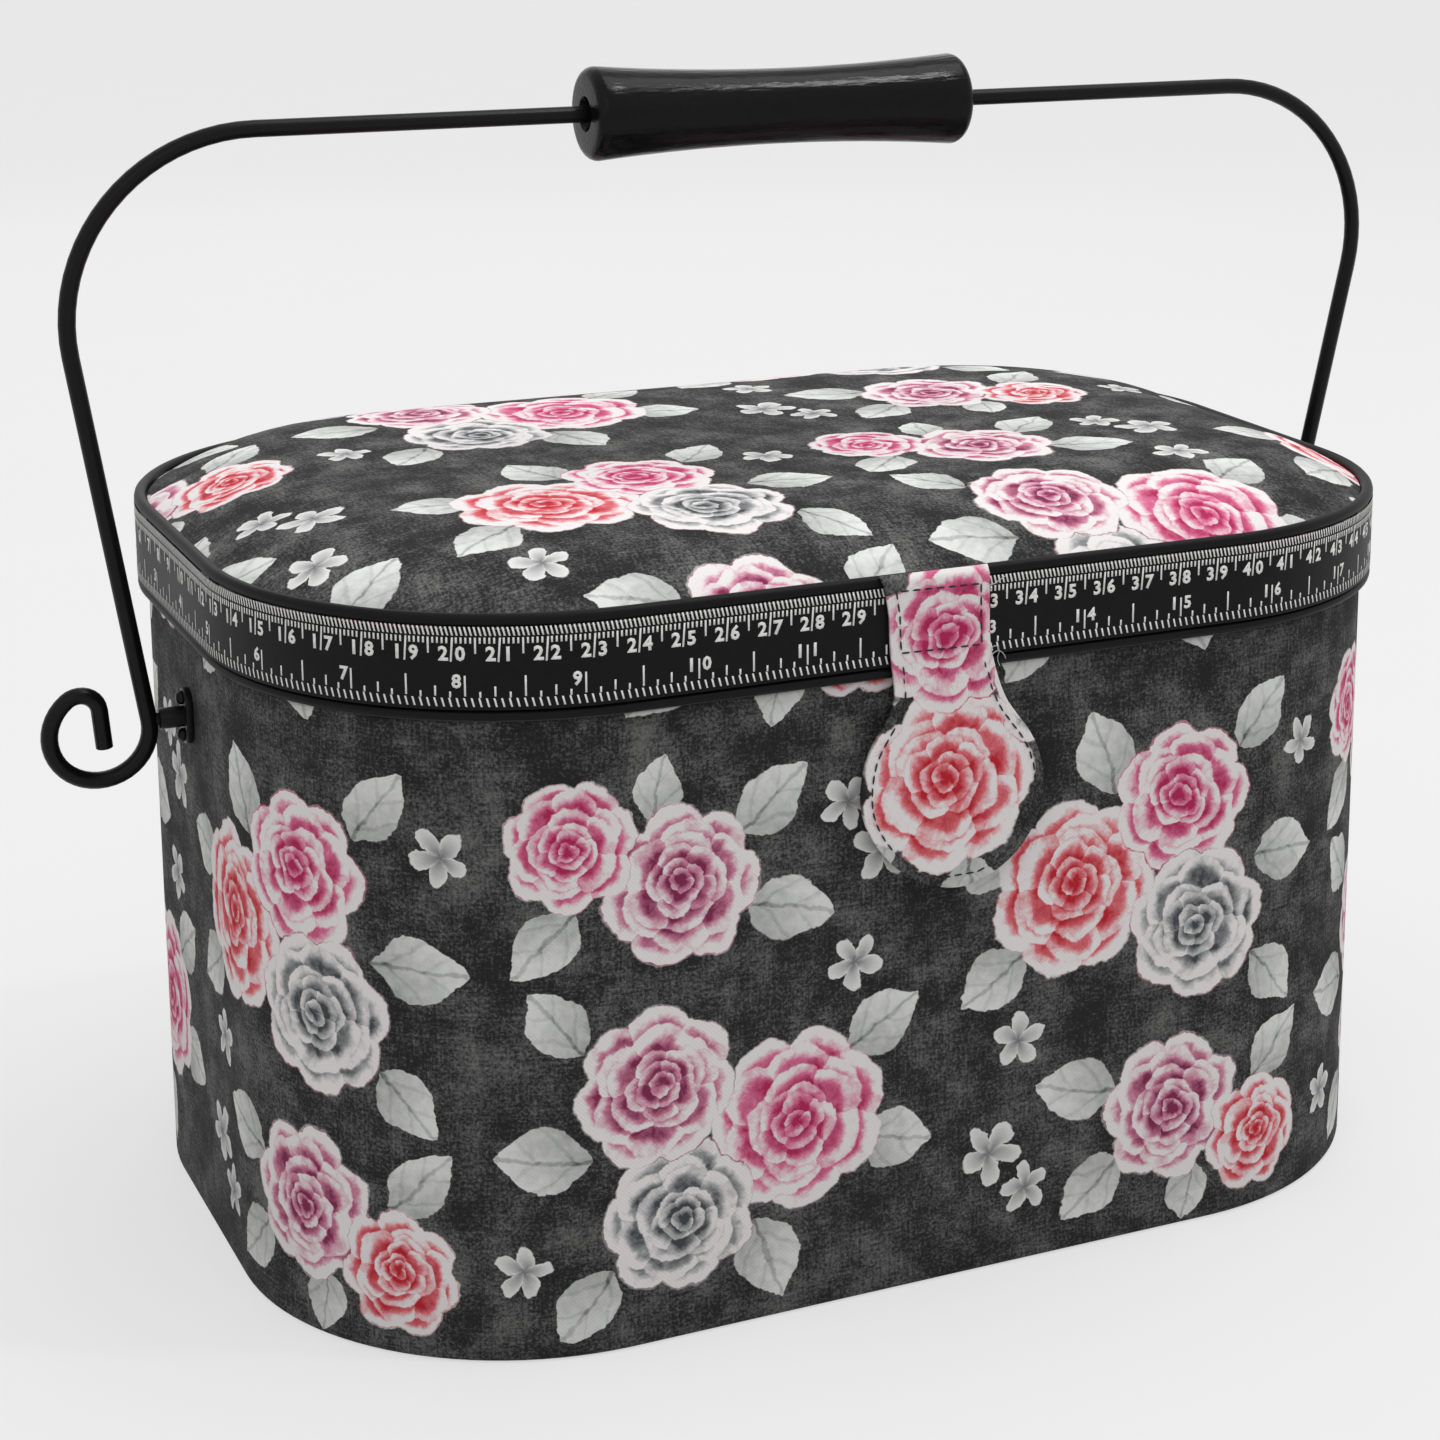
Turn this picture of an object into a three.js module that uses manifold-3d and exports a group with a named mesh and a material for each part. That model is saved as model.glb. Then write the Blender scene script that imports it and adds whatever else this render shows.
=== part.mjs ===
// Sewing box: a fabric-covered box with rounded ends, a padded lid hinged at the back
// and a black wire bail with a turned grip.
// Millimetres. +X right, +Y back, +Z up. Origin: centre of the underside.
// The tab side is the front (-Y).

import * as THREE from 'three';
import { mergeVertices } from 'three/addons/utils/BufferGeometryUtils.js';
import Module from 'manifold-3d';

const wasm = await Module();
wasm.setup();

// Lid outline, over the ruler tape
const lidLength = 295;
const lidWidth = 208;
const lidCorner = 73;

// Heights of the wall and of the lid's band above it
const wallTop = 149;
const bandHeight = 23.5;
const crownRise = 10;
const crownRun = 60;

// The lid's band stands proud of the wall by this much all round
const bandProud = 2.5;

// Layers of the wall, from outside in
const coverThickness = 1;
const boardThickness = 3.5;
const liningThickness = 0.8;

// Gap left between two layers that are glued or sewn together
const layerGap = 0.2;
// Gap at the seam where the lid's rim rests on the wall
const seamGap = 0.3;
// Radial running clearance of a pin in its bore
const runningClearance = 0.08;
// Overrun of a cutting tool past the face it leaves
const overrun = 2;

// Bottom of the box
const underlayThickness = 0.8;
const baseThickness = 4;
const basePadThickness = 2;

// Lid structure
const rimThickness = 4.5;
const lidBoardThickness = 3;
const sideClothThickness = 1.1;
const tapeThickness = 1;
const tapeRise = 0.4;
const upperPiping = 3;
const lowerPiping = 2.2;
const lidClothThickness = 0.8;
const lidPanelThickness = 1.5;

// Pincushion and pocket on the lid's lining
const cushionLength = 88;
const cushionWidth = 60;
const cushionCorner = 14;
const cushionDepth = 8;
const cushionTuck = 2;
const cushionRollShare = 0.18;
const cushionRun = 8;
const cushionPlace = -72;
const pocketLength = 112;
const pocketWidth = 84;
const pocketCorner = 10;
const pocketDepth = 2.4;
const pocketBevel = 0.8;
const pocketPlace = 62;

// Closing tab
const tabWidth = 26;
const tabThickness = 2;
const tabProud = 0.5;
const tabFoldRise = 6;
const tabNeckDrop = 3;
const tabFoldGap = 1.8;
const paddleRadius = 22.6;
const paddleDrop = 28;
const flareReach = 9;
const snapDrop = 31;
const snapRadius = 7;
const magnetThickness = 1.2;
const snapPlateThickness = 0.9;

// Back hinges
const hingeWidth = 24;
const hingeEndGap = 2.5;
const leafThickness = 1;
const leafHeight = 15;
const knuckleRadius = 2;
const hingePinRadius = 1;
const middleKnuckle = 11;
const knuckleGap = 0.3;
const leafCorner = 2;

// Side brackets that carry the bail
const pivotDrop = 20.5;
const bracketWidth = 9;
const bracketHeight = 13.4;
const bracketThickness = 1.5;
const bossRadius = 2.5;
const bossReach = 7;
const bossGap = 0.8;
const screwOffset = 4.5;
const screwRadius = 1.2;
const screwHeadRadius = 1.65;
const screwHeadHeight = 1.4;
const screwClearance = 0.15;
const backingThickness = 1;

// Wire bail, measured on the wire's centre line, leaning to the front at rest
const wireRadius = 2;
const bailRise = 137.5;
const shoulderRadius = 42.7;
const legStandoff = 9.6;
const barSetback = 27.6;
const bailLeanDeg = 4.3;
const scrollRadius = 11.45;
const scrollTurnDeg = 240;
const curlRadius = 4.5;
const curlTurnDeg = 124;
const scrollTail = 9.2;
const pivotPinRadius = 1.5;
const pivotPinEndGap = 0.4;

// Grip
const gripLength = 97.5;
const gripEndRadius = 11.1;
const gripWaistRadius = 9.05;
const gripEdge = 2.6;
const gripMouthRadius = 4.2;
const gripMouthDepth = 2;

// Tray
const trayGap = 2;
const trayHeight = 31;
const trayWall = 1.8;
const trayDraft = 1.6;
const traySeatDrop = 41;
const trayDividerY = 16;
const trayFrontDividersX = [-46, 46];
const trayBackDividersX = [58];
const trayPocketCorner = 5;
const battenDepth = 10;
const battenHeight = 10;
const battenEdge = 1.2;

// Facets
const cornerSteps = 10;
const pinSides = 24;
const wireSides = 12;
const pipingSides = 8;
const crownRings = 7;

// Sizes that follow from the ones above
const wall = {
  length: lidLength - 2 * bandProud,
  width: lidWidth - 2 * bandProud,
  corner: lidCorner - bandProud,
};
const band = { length: lidLength, width: lidWidth, corner: lidCorner };
const straightLength = wall.length - 2 * wall.corner;
const lidTop = wallTop + bandHeight;
const pivotHeight = wallTop - pivotDrop;
const traySeat = wallTop - traySeatDrop;
const paddleHeight = wallTop - paddleDrop;
const snapHeight = wallTop - snapDrop;
const tabFold = wallTop + tabFoldRise;
const tabNeckEnd = wallTop - tabNeckDrop;
const boardInset = coverThickness + layerGap;
const liningInset = boardInset + boardThickness + layerGap;
const insideInset = liningInset + liningThickness;
const baseBottom = underlayThickness + layerGap;
const baseTop = baseBottom + baseThickness;
const rimBottom = wallTop + seamGap / 2;
const wallEnd = wallTop - seamGap / 2;
const lidBoardTop = lidTop - upperPiping - layerGap;
const rimTop = lidBoardTop - lidBoardThickness - layerGap;
const panelBottom = rimTop - lidPanelThickness;
const tapeBottom = rimBottom + lowerPiping + layerGap;
const tapeTop = lidTop - upperPiping - layerGap;
const frontOfBand = -lidWidth / 2;
const tabBack = frontOfBand - seamGap;
const hingeY = lidWidth / 2 + seamGap + leafThickness + knuckleRadius / 2 + layerGap;
const hingeZ = wallTop;
const wallEndX = wall.length / 2;

// Solids

// A geometry as a solid that can be cut and joined.
function solidOf(geometry) {
  const bare = geometry.clone();
  bare.deleteAttribute('normal');
  bare.deleteAttribute('uv');
  const merged = mergeVertices(bare);
  return new wasm.Manifold(new wasm.Mesh({
    numProp: 3,
    vertProperties: new Float32Array(merged.attributes.position.array),
    triVerts: new Uint32Array(merged.index.array),
  }));
}

// A solid back as a geometry.
function geometryOf(solid) {
  const mesh = solid.getMesh();
  const geometry = new THREE.BufferGeometry();
  geometry.setAttribute('position', new THREE.BufferAttribute(mesh.vertProperties, 3));
  geometry.setIndex(new THREE.BufferAttribute(mesh.triVerts, 1));
  return geometry;
}

function cut(geometry, tools) {
  return geometryOf(tools.reduce((rest, tool) => rest.subtract(solidOf(tool)), solidOf(geometry)));
}

function join(geometries) {
  return geometryOf(geometries.map(solidOf).reduce((sum, next) => sum.add(next)));
}

function overlapOf(first, second) {
  return geometryOf(solidOf(first).intersect(solidOf(second)));
}

// Outlines

// Rectangle with round corners, drawn in from a given outline by an inset.
function roundedRectangle({ length, width, corner }, inset = 0) {
  const x = length / 2 - corner;
  const y = width / 2 - corner;
  const r = corner - inset;
  const shape = new THREE.Shape();
  shape.absarc(x, y, r, 0, Math.PI / 2);
  shape.absarc(-x, y, r, Math.PI / 2, Math.PI);
  shape.absarc(-x, -y, r, Math.PI, 1.5 * Math.PI);
  shape.absarc(x, -y, r, 1.5 * Math.PI, 2 * Math.PI);
  return shape;
}

// The same outline as a ring of points, all rings having equal counts.
function outlineRing(size, inset, height) {
  const ring = [];
  const x = size.length / 2 - size.corner;
  const y = size.width / 2 - size.corner;
  const r = size.corner - inset;
  const centres = [[x, y], [-x, y], [-x, -y], [x, -y]];
  centres.forEach(([cx, cy], quarter) => {
    for (let step = 0; step <= cornerSteps; step += 1) {
      const angle = (quarter + step / cornerSteps) * Math.PI / 2;
      ring.push(new THREE.Vector3(cx + r * Math.cos(angle), cy + r * Math.sin(angle), height));
    }
  });
  return ring;
}

function circleShape(x, y, radius, sides = pinSides) {
  const points = [];
  for (let side = 0; side < sides; side += 1) {
    const angle = 2 * Math.PI * side / sides;
    points.push(new THREE.Vector2(x + radius * Math.cos(angle), y + radius * Math.sin(angle)));
  }
  return new THREE.Shape(points);
}

// Closed skin through rings of points. With loop the last ring meets the first,
// otherwise both ends are capped from their middle. Rings run so that faces point out.
function loft(rings, loop = false) {
  const count = rings[0].length;
  const positions = rings.flat().flatMap((p) => [p.x, p.y, p.z]);
  const index = [];
  const spans = loop ? rings.length : rings.length - 1;
  for (let i = 0; i < spans; i += 1) {
    const low = i * count;
    const high = ((i + 1) % rings.length) * count;
    for (let j = 0; j < count; j += 1) {
      const k = (j + 1) % count;
      index.push(low + j, low + k, high + k, low + j, high + k, high + j);
    }
  }
  if (!loop) {
    [rings[0], rings[rings.length - 1]].forEach((ring, end) => {
      const middle = ring.reduce((sum, p) => sum.add(p), new THREE.Vector3()).divideScalar(count);
      const centre = positions.length / 3;
      positions.push(middle.x, middle.y, middle.z);
      const first = end ? (rings.length - 1) * count : 0;
      for (let j = 0; j < count; j += 1) {
        const k = (j + 1) % count;
        if (end) index.push(first + j, first + k, centre);
        else index.push(first + k, first + j, centre);
      }
    });
  }
  const geometry = new THREE.BufferGeometry();
  geometry.setAttribute('position', new THREE.Float32BufferAttribute(positions, 3));
  geometry.setIndex(index);
  return geometry;
}

// Pieces that run round the outline

// Flat plate with the outline, from one height to another.
function plate(size, inset, bottom, top) {
  const geometry = new THREE.ExtrudeGeometry(roundedRectangle(size, inset), {
    depth: top - bottom, bevelEnabled: false, curveSegments: cornerSteps / 2,
  });
  return geometry.translate(0, 0, bottom);
}

// Upright strip bent round the outline.
function strip(size, outerInset, innerInset, bottom, top) {
  return loft([
    outlineRing(size, outerInset, bottom),
    outlineRing(size, outerInset, top),
    outlineRing(size, innerInset, top),
    outlineRing(size, innerInset, bottom),
  ], true);
}

// Covered cord sewn round the outline.
function piping(size, diameter, height) {
  const radius = diameter / 2;
  const rings = [];
  for (let side = 0; side < pipingSides; side += 1) {
    const angle = 2 * Math.PI * (side + 0.5) / pipingSides;
    rings.push(outlineRing(size, radius - radius * Math.cos(angle), height + radius * Math.sin(angle)));
  }
  return loft(rings, true);
}

// Height of a padded crown, a share of its rise, at a distance in from its edge.
function crownShare(distance, run) {
  const left = 1 - Math.min(distance / run, 1);
  return 1 - left * left;
}

// Rings of a crown from its edge to its middle, drawn in by an inset.
function crownRingsOf(size, inset, foot, rise, run) {
  const rings = [];
  for (let i = 0; i <= crownRings; i += 1) {
    const distance = run * (i / crownRings);
    rings.push(outlineRing(size, inset + distance, foot + rise * crownShare(distance, run)));
  }
  return rings;
}

// Boxes and plates that stand upright

// Extrudes a shape drawn in x and z towards the front from a given back face.
function uprightPlate(shape, back, thickness, segments = cornerSteps) {
  const geometry = new THREE.ExtrudeGeometry(shape, {
    depth: thickness, bevelEnabled: false, curveSegments: segments,
  });
  return geometry.rotateX(Math.PI / 2).translate(0, back, 0);
}

// Extrudes a shape drawn in y and z along x, from one x to another.
const sidewise = new THREE.Matrix4().makeBasis(
  new THREE.Vector3(0, 1, 0), new THREE.Vector3(0, 0, 1), new THREE.Vector3(1, 0, 0),
);

function sidePlate(shape, fromX, toX, segments = cornerSteps) {
  const geometry = new THREE.ExtrudeGeometry(shape, {
    depth: toX - fromX, bevelEnabled: false, curveSegments: segments,
  });
  return geometry.applyMatrix4(sidewise).translate(fromX, 0, 0);
}

function rod(y, z, radius, fromX, toX, sides = pinSides) {
  return sidePlate(circleShape(y, z, radius, sides), fromX, toX);
}

// Mirrors a geometry from one end of the box to the other and turns its faces out again.
function otherEnd(geometry) {
  const copy = geometry.clone().applyMatrix4(new THREE.Matrix4().makeScale(-1, 1, 1));
  const index = copy.index.array;
  for (let i = 0; i < index.length; i += 3) [index[i], index[i + 1]] = [index[i + 1], index[i]];
  return copy;
}

// Materials
const finish = {
  print: { color: 0x4b4b4d, roughness: 0.85, metalness: 0 },
  satin: { color: 0x131315, roughness: 0.5, metalness: 0 },
  lining: { color: 0x1c1c1f, roughness: 0.7, metalness: 0 },
  board: { color: 0xb99a6b, roughness: 0.9, metalness: 0 },
  foam: { color: 0xe9e4d4, roughness: 0.95, metalness: 0 },
  wire: { color: 0x0e0e10, roughness: 0.35, metalness: 0.2 },
  steel: { color: 0x2a2a2c, roughness: 0.35, metalness: 0.9 },
  grip: { color: 0x121213, roughness: 0.4, metalness: 0 },
  plastic: { color: 0xd8dadb, roughness: 0.35, metalness: 0 },
};

// One group for each part that moves by itself
const sewingBox = new THREE.Group();
const box = new THREE.Group();
const tray = new THREE.Group();
const lid = new THREE.Group();
const tab = new THREE.Group();
const handle = new THREE.Group();
handle.position.z = pivotHeight;
handle.rotation.x = THREE.MathUtils.degToRad(bailLeanDeg);
sewingBox.add(box, tray, lid, handle);
lid.add(tab);

function add(group, name, geometry, look) {
  const mesh = new THREE.Mesh(geometry, new THREE.MeshStandardMaterial(finish[look]));
  mesh.name = name;
  group.add(mesh);
}

// Bottom and wall of the box

// Two screws go through each end wall, above and below the bail's pivot.
const screwHeights = [pivotHeight - screwOffset, pivotHeight + screwOffset];

function screwBores(layer) {
  const reach = wallEndX + overrun;
  const radius = screwRadius + screwClearance;
  return cut(layer, screwHeights.map((z) => rod(0, z, radius, -reach, reach, wireSides)));
}

add(box, 'base_underlay', plate(wall, boardInset, 0, underlayThickness), 'lining');
add(box, 'base_board', plate(wall, liningInset, baseBottom, baseTop), 'board');
add(box, 'base_pad', plate(wall, insideInset + layerGap, baseTop + layerGap,
  baseTop + layerGap + basePadThickness), 'lining');
add(box, 'wall_board', screwBores(strip(wall, boardInset, boardInset + boardThickness,
  baseBottom, wallEnd)), 'board');
add(box, 'wall_cover', screwBores(strip(wall, 0, coverThickness, layerGap, wallEnd)), 'print');
add(box, 'wall_lining', screwBores(strip(wall, liningInset, insideInset,
  baseTop + layerGap, wallEnd)), 'lining');

// Battens glued to the lining, front and back, carry the tray.
function batten(side) {
  const outer = wall.width / 2 - insideInset - layerGap;
  const bottom = traySeat - seamGap - battenHeight;
  const shape = new THREE.Shape();
  shape.moveTo(outer, bottom + battenEdge);
  shape.lineTo(outer, bottom + battenHeight);
  shape.lineTo(outer - battenDepth, bottom + battenHeight);
  shape.lineTo(outer - battenDepth, bottom + battenHeight / 2);
  shape.lineTo(outer - battenEdge, bottom);
  shape.lineTo(outer, bottom);
  const block = sidePlate(shape, -straightLength / 2, straightLength / 2);
  return side < 0 ? block.rotateZ(Math.PI) : block;
}

add(box, 'tray_batten_front', batten(-1), 'lining');
add(box, 'tray_batten_back', batten(1), 'lining');

// Tray: one moulding with drafted sides, divided into pockets

function drafted(size, inset, bottom, top) {
  return loft([
    outlineRing(size, inset + trayDraft, bottom),
    outlineRing(size, inset, top),
  ]);
}

// The pockets lie between the dividers in two rows.
function trayCells() {
  const outside = { x: wall.length / 2, y: wall.width / 2 };
  const half = trayWall / 2;
  const rows = [
    { y: [-outside.y, trayDividerY - half], dividers: trayFrontDividersX },
    { y: [trayDividerY + half, outside.y], dividers: trayBackDividersX },
  ];
  return rows.flatMap(({ y, dividers }) => {
    const edges = [-outside.x, ...dividers.flatMap((x) => [x - half, x + half]), outside.x];
    const cells = [];
    for (let i = 0; i < edges.length; i += 2) cells.push({ x: [edges[i], edges[i + 1]], y });
    return cells;
  });
}

function trayMoulding() {
  const inset = insideInset + trayGap;
  const top = traySeat + trayHeight;
  const body = drafted(wall, inset, traySeat, top);
  const hollow = drafted(wall, inset + trayWall, traySeat + trayWall, top + overrun);
  const pockets = trayCells().map(({ x, y }) => {
    const cell = {
      length: x[1] - x[0], width: y[1] - y[0], corner: trayPocketCorner,
    };
    const block = new THREE.ExtrudeGeometry(roundedRectangle(cell), {
      depth: trayHeight + overrun, bevelEnabled: false, curveSegments: 3,
    });
    block.translate((x[0] + x[1]) / 2, (y[0] + y[1]) / 2, traySeat + trayWall);
    return overlapOf(hollow, block);
  });
  return cut(body, pockets);
}

add(tray, 'tray', trayMoulding(), 'plastic');

// Lid: rim, board, padding, cloth, tape and piping

add(lid, 'lid_rim', strip(wall, 0, rimThickness, rimBottom, rimTop), 'board');
add(lid, 'lid_board', plate(wall, 0, lidBoardTop - lidBoardThickness, lidBoardTop), 'board');

// The padding fills the cloth, which is sewn down inside the upper piping.
const clothEdgeInset = upperPiping + layerGap;
const clothFoot = lidTop - upperPiping / 2;
const clothRise = lidTop + crownRise - clothFoot;

function lidPadding() {
  const inset = clothEdgeInset + lidClothThickness + layerGap;
  const crown = crownRingsOf(band, inset, clothFoot - lidClothThickness, clothRise - layerGap, crownRun);
  return loft([outlineRing(band, inset, lidBoardTop + layerGap), ...crown]);
}

function lidCloth() {
  const outer = crownRingsOf(band, clothEdgeInset, clothFoot, clothRise, crownRun);
  const innerFoot = clothFoot - lidClothThickness + layerGap;
  const inner = crownRingsOf(band, clothEdgeInset + lidClothThickness, innerFoot,
    clothRise - layerGap, crownRun);
  const foot = lidBoardTop + layerGap;
  const edge = [
    outlineRing(band, clothEdgeInset + lidClothThickness, foot),
    outlineRing(band, clothEdgeInset, foot),
  ];
  return loft([...inner.reverse(), ...edge, ...outer]);
}

add(lid, 'lid_padding', lidPadding(), 'foam');
add(lid, 'lid_cover', lidCloth(), 'print');
const sideClothInset = tapeThickness + layerGap;
add(lid, 'lid_side_cloth', strip(band, sideClothInset, sideClothInset + sideClothThickness,
  tapeBottom, tapeTop), 'print');
add(lid, 'ruler_tape', strip(band, 0, tapeThickness, tapeBottom, tapeTop), 'satin');
add(lid, 'piping_upper', piping(band, upperPiping, lidTop - upperPiping / 2), 'satin');
add(lid, 'piping_lower', piping(band, lowerPiping, rimBottom + lowerPiping / 2), 'satin');

// Lining of the lid, with a pincushion and a flat pocket

const rimInside = rimThickness + layerGap;
add(lid, 'lid_rim_lining', strip(wall, rimInside, rimInside + liningThickness,
  rimBottom + layerGap, panelBottom - layerGap), 'lining');
add(lid, 'lid_lining', plate(wall, rimInside, panelBottom, rimTop), 'lining');

function pincushion() {
  const size = { length: cushionLength, width: cushionWidth, corner: cushionCorner };
  const rings = [];
  for (let i = 0; i <= crownRings; i += 1) {
    const bulge = Math.sin(Math.PI / 2 * i / crownRings);
    const inset = cushionRun * (1 - Math.cos(Math.PI / 2 * i / crownRings));
    rings.push(outlineRing(size, inset, cushionDepth * bulge));
  }
  const drawnIn = outlineRing(size, cushionTuck, 0);
  rings[0] = outlineRing(size, 0, cushionDepth * cushionRollShare);
  return loft([drawnIn, ...rings]).rotateX(Math.PI)
    .translate(cushionPlace, 0, panelBottom - layerGap);
}

function pocket() {
  const size = { length: pocketLength, width: pocketWidth, corner: pocketCorner };
  const geometry = new THREE.ExtrudeGeometry(roundedRectangle(size, pocketBevel), {
    depth: pocketDepth - 2 * pocketBevel, bevelEnabled: true, bevelSegments: 2, bevelSize: pocketBevel,
    bevelThickness: pocketBevel, curveSegments: 3,
  });
  return geometry.translate(pocketPlace, 0, panelBottom - layerGap - pocketDepth + pocketBevel);
}

add(lid, 'pincushion', pincushion(), 'satin');
add(lid, 'lid_pocket', pocket(), 'lining');

// Closing tab: the part sewn on the lid, and the flap with its round paddle

function tabPatch() {
  const half = tabWidth / 2;
  const shape = new THREE.Shape();
  shape.moveTo(-half, tabFold + tabFoldGap);
  shape.lineTo(half, tabFold + tabFoldGap);
  shape.lineTo(half, lidTop + tabProud);
  shape.lineTo(-half, lidTop + tabProud);
  return uprightPlate(shape, tabBack, tabThickness);
}

// The flap widens from its neck into the paddle's circle.
function tabFlap() {
  const half = tabWidth / 2;
  const top = tabFold - layerGap;
  const start = Math.PI / 7;
  const meetX = paddleRadius * Math.cos(start);
  const meetZ = paddleHeight + paddleRadius * Math.sin(start);
  const leanX = flareReach * Math.sin(start);
  const leanZ = flareReach * Math.cos(start);
  const shape = new THREE.Shape();
  shape.moveTo(half, top);
  shape.lineTo(-half, top);
  shape.lineTo(-half, tabNeckEnd);
  shape.bezierCurveTo(-half, tabNeckEnd - flareReach, -meetX + leanX, meetZ + leanZ, -meetX, meetZ);
  shape.absarc(0, paddleHeight, paddleRadius, Math.PI - start, 2 * Math.PI + start);
  shape.bezierCurveTo(meetX - leanX, meetZ + leanZ, half, tabNeckEnd - flareReach, half, tabNeckEnd);
  return uprightPlate(shape, tabBack, tabThickness);
}

function disc(back, thickness) {
  return uprightPlate(circleShape(0, snapHeight, snapRadius), back, thickness);
}

const wallFront = -wall.width / 2;
add(lid, 'tab_patch', tabPatch(), 'print');
add(tab, 'tab_flap', tabFlap(), 'print');
add(tab, 'snap_magnet', disc(tabBack + layerGap + magnetThickness, magnetThickness), 'steel');
add(box, 'snap_plate', disc(wallFront - layerGap, snapPlateThickness), 'steel');

// Back hinges: two leaves and a pin each

// Leaf with rounded far corners, drawn in y and z and standing beside the pin.
function leafPlate(y, nearZ, farZ, centreX) {
  const half = hingeWidth / 2;
  const up = Math.sign(farZ - nearZ);
  const shape = new THREE.Shape();
  const corner = leafCorner;
  if (up > 0) {
    shape.moveTo(-half, nearZ);
    shape.lineTo(half, nearZ);
    shape.absarc(half - corner, farZ - corner, corner, 0, Math.PI / 2);
    shape.absarc(-half + corner, farZ - corner, corner, Math.PI / 2, Math.PI);
  } else {
    shape.moveTo(half, nearZ);
    shape.lineTo(-half, nearZ);
    shape.absarc(-half + corner, farZ + corner, corner, Math.PI, 1.5 * Math.PI);
    shape.absarc(half - corner, farZ + corner, corner, 1.5 * Math.PI, 2 * Math.PI);
  }
  return uprightPlate(shape, y + leafThickness, leafThickness, 3).translate(centreX, 0, 0);
}

// Web from the leaf's near edge to the knuckle, in a stretch of x.
function knuckle(leafY, leafZ, fromX, toX) {
  const web = new THREE.Shape([
    new THREE.Vector2(leafY, leafZ),
    new THREE.Vector2(leafY + leafThickness, leafZ),
    new THREE.Vector2(hingeY + leafThickness / 2, hingeZ),
    new THREE.Vector2(hingeY - leafThickness / 2, hingeZ),
  ]);
  return [sidePlate(web, fromX, toX), rod(hingeY, hingeZ, knuckleRadius, fromX, toX)];
}

function hingeBore(centreX) {
  const reach = hingeWidth / 2 + overrun;
  return rod(hingeY, hingeZ, hingePinRadius + runningClearance, centreX - reach, centreX + reach);
}

const lowerLeafY = wall.width / 2 + layerGap;
const upperLeafY = lidWidth / 2 + seamGap;
const leafClearance = knuckleRadius + seamGap;

function lowerLeaf(centreX) {
  const near = hingeZ - leafClearance;
  const half = hingeWidth / 2;
  const inner = middleKnuckle / 2 + knuckleGap;
  const solid = join([
    leafPlate(lowerLeafY, near, near - leafHeight, centreX),
    ...knuckle(lowerLeafY, near - leafThickness, centreX - half, centreX - inner),
    ...knuckle(lowerLeafY, near - leafThickness, centreX + inner, centreX + half),
  ]);
  return cut(solid, [hingeBore(centreX)]);
}

function upperLeaf(centreX) {
  const near = hingeZ + leafClearance;
  const half = middleKnuckle / 2;
  const solid = join([
    leafPlate(upperLeafY, near, near + leafHeight, centreX),
    ...knuckle(upperLeafY, near + leafThickness, centreX - half, centreX + half),
  ]);
  return cut(solid, [hingeBore(centreX)]);
}

for (const [side, name] of [[-1, 'left'], [1, 'right']]) {
  const centreX = side * (straightLength / 2 - hingeEndGap - hingeWidth / 2);
  add(box, `hinge_lower_${name}`, lowerLeaf(centreX), 'steel');
  add(lid, `hinge_upper_${name}`, upperLeaf(centreX), 'steel');
  add(box, `hinge_pin_${name}`, rod(hingeY, hingeZ, hingePinRadius,
    centreX - hingeWidth / 2, centreX + hingeWidth / 2), 'steel');
}

// Side brackets, made for the right end and mirrored for the left

// Plate with half-round ends, drawn in y and z.
function slotPlate(fromX, toX) {
  const radius = bracketWidth / 2;
  const reach = bracketHeight / 2 - radius;
  const shape = new THREE.Shape();
  shape.absarc(0, pivotHeight + reach, radius, 0, Math.PI);
  shape.absarc(0, pivotHeight - reach, radius, Math.PI, 2 * Math.PI);
  return sidePlate(shape, fromX, toX, cornerSteps / 2);
}

const bracketBack = wallEndX + layerGap;
const bracketFace = bracketBack + bracketThickness;
const legFoot = wallEndX + legStandoff;
const bossEnd = legFoot - wireRadius - bossGap;
const boreEnd = bossEnd - bossReach + bracketThickness;

function bracket() {
  const solid = join([
    slotPlate(bracketBack, bracketFace),
    rod(0, pivotHeight, bossRadius, bracketFace - layerGap, bossEnd),
  ]);
  const bores = screwHeights.map((z) => rod(0, z, screwRadius + screwClearance,
    bracketBack - overrun, bracketFace + overrun, wireSides));
  const pivotBore = rod(0, pivotHeight, pivotPinRadius + runningClearance, boreEnd, bossEnd + overrun);
  return cut(solid, [...bores, pivotBore]);
}

// Plate inside the lining that takes the screws' points.
const backingFace = wallEndX - insideInset - layerGap;

function backing() {
  const bores = screwHeights.map((z) => rod(0, z, screwRadius + screwClearance,
    backingFace - backingThickness - overrun, backingFace + overrun, wireSides));
  return cut(slotPlate(backingFace - backingThickness, backingFace), bores);
}

// Round-headed screw, its head against the bracket.
function bracketScrew(z) {
  const head = bracketFace + layerGap;
  const point = backingFace - backingThickness;
  const profile = [
    [0, point], [screwRadius, point], [screwRadius, head], [screwHeadRadius, head],
    [screwHeadRadius, head + screwHeadHeight / 3],
    [screwHeadRadius * Math.cos(Math.PI / 5), head + screwHeadHeight * Math.sin(Math.PI / 3)],
    [screwHeadRadius * Math.cos(Math.PI / 3), head + screwHeadHeight],
    [0, head + screwHeadHeight],
  ];
  const geometry = new THREE.LatheGeometry(profile.map(([r, x]) => new THREE.Vector2(r, x)), wireSides);
  return geometry.rotateZ(-Math.PI / 2).translate(0, 0, z);
}

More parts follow.
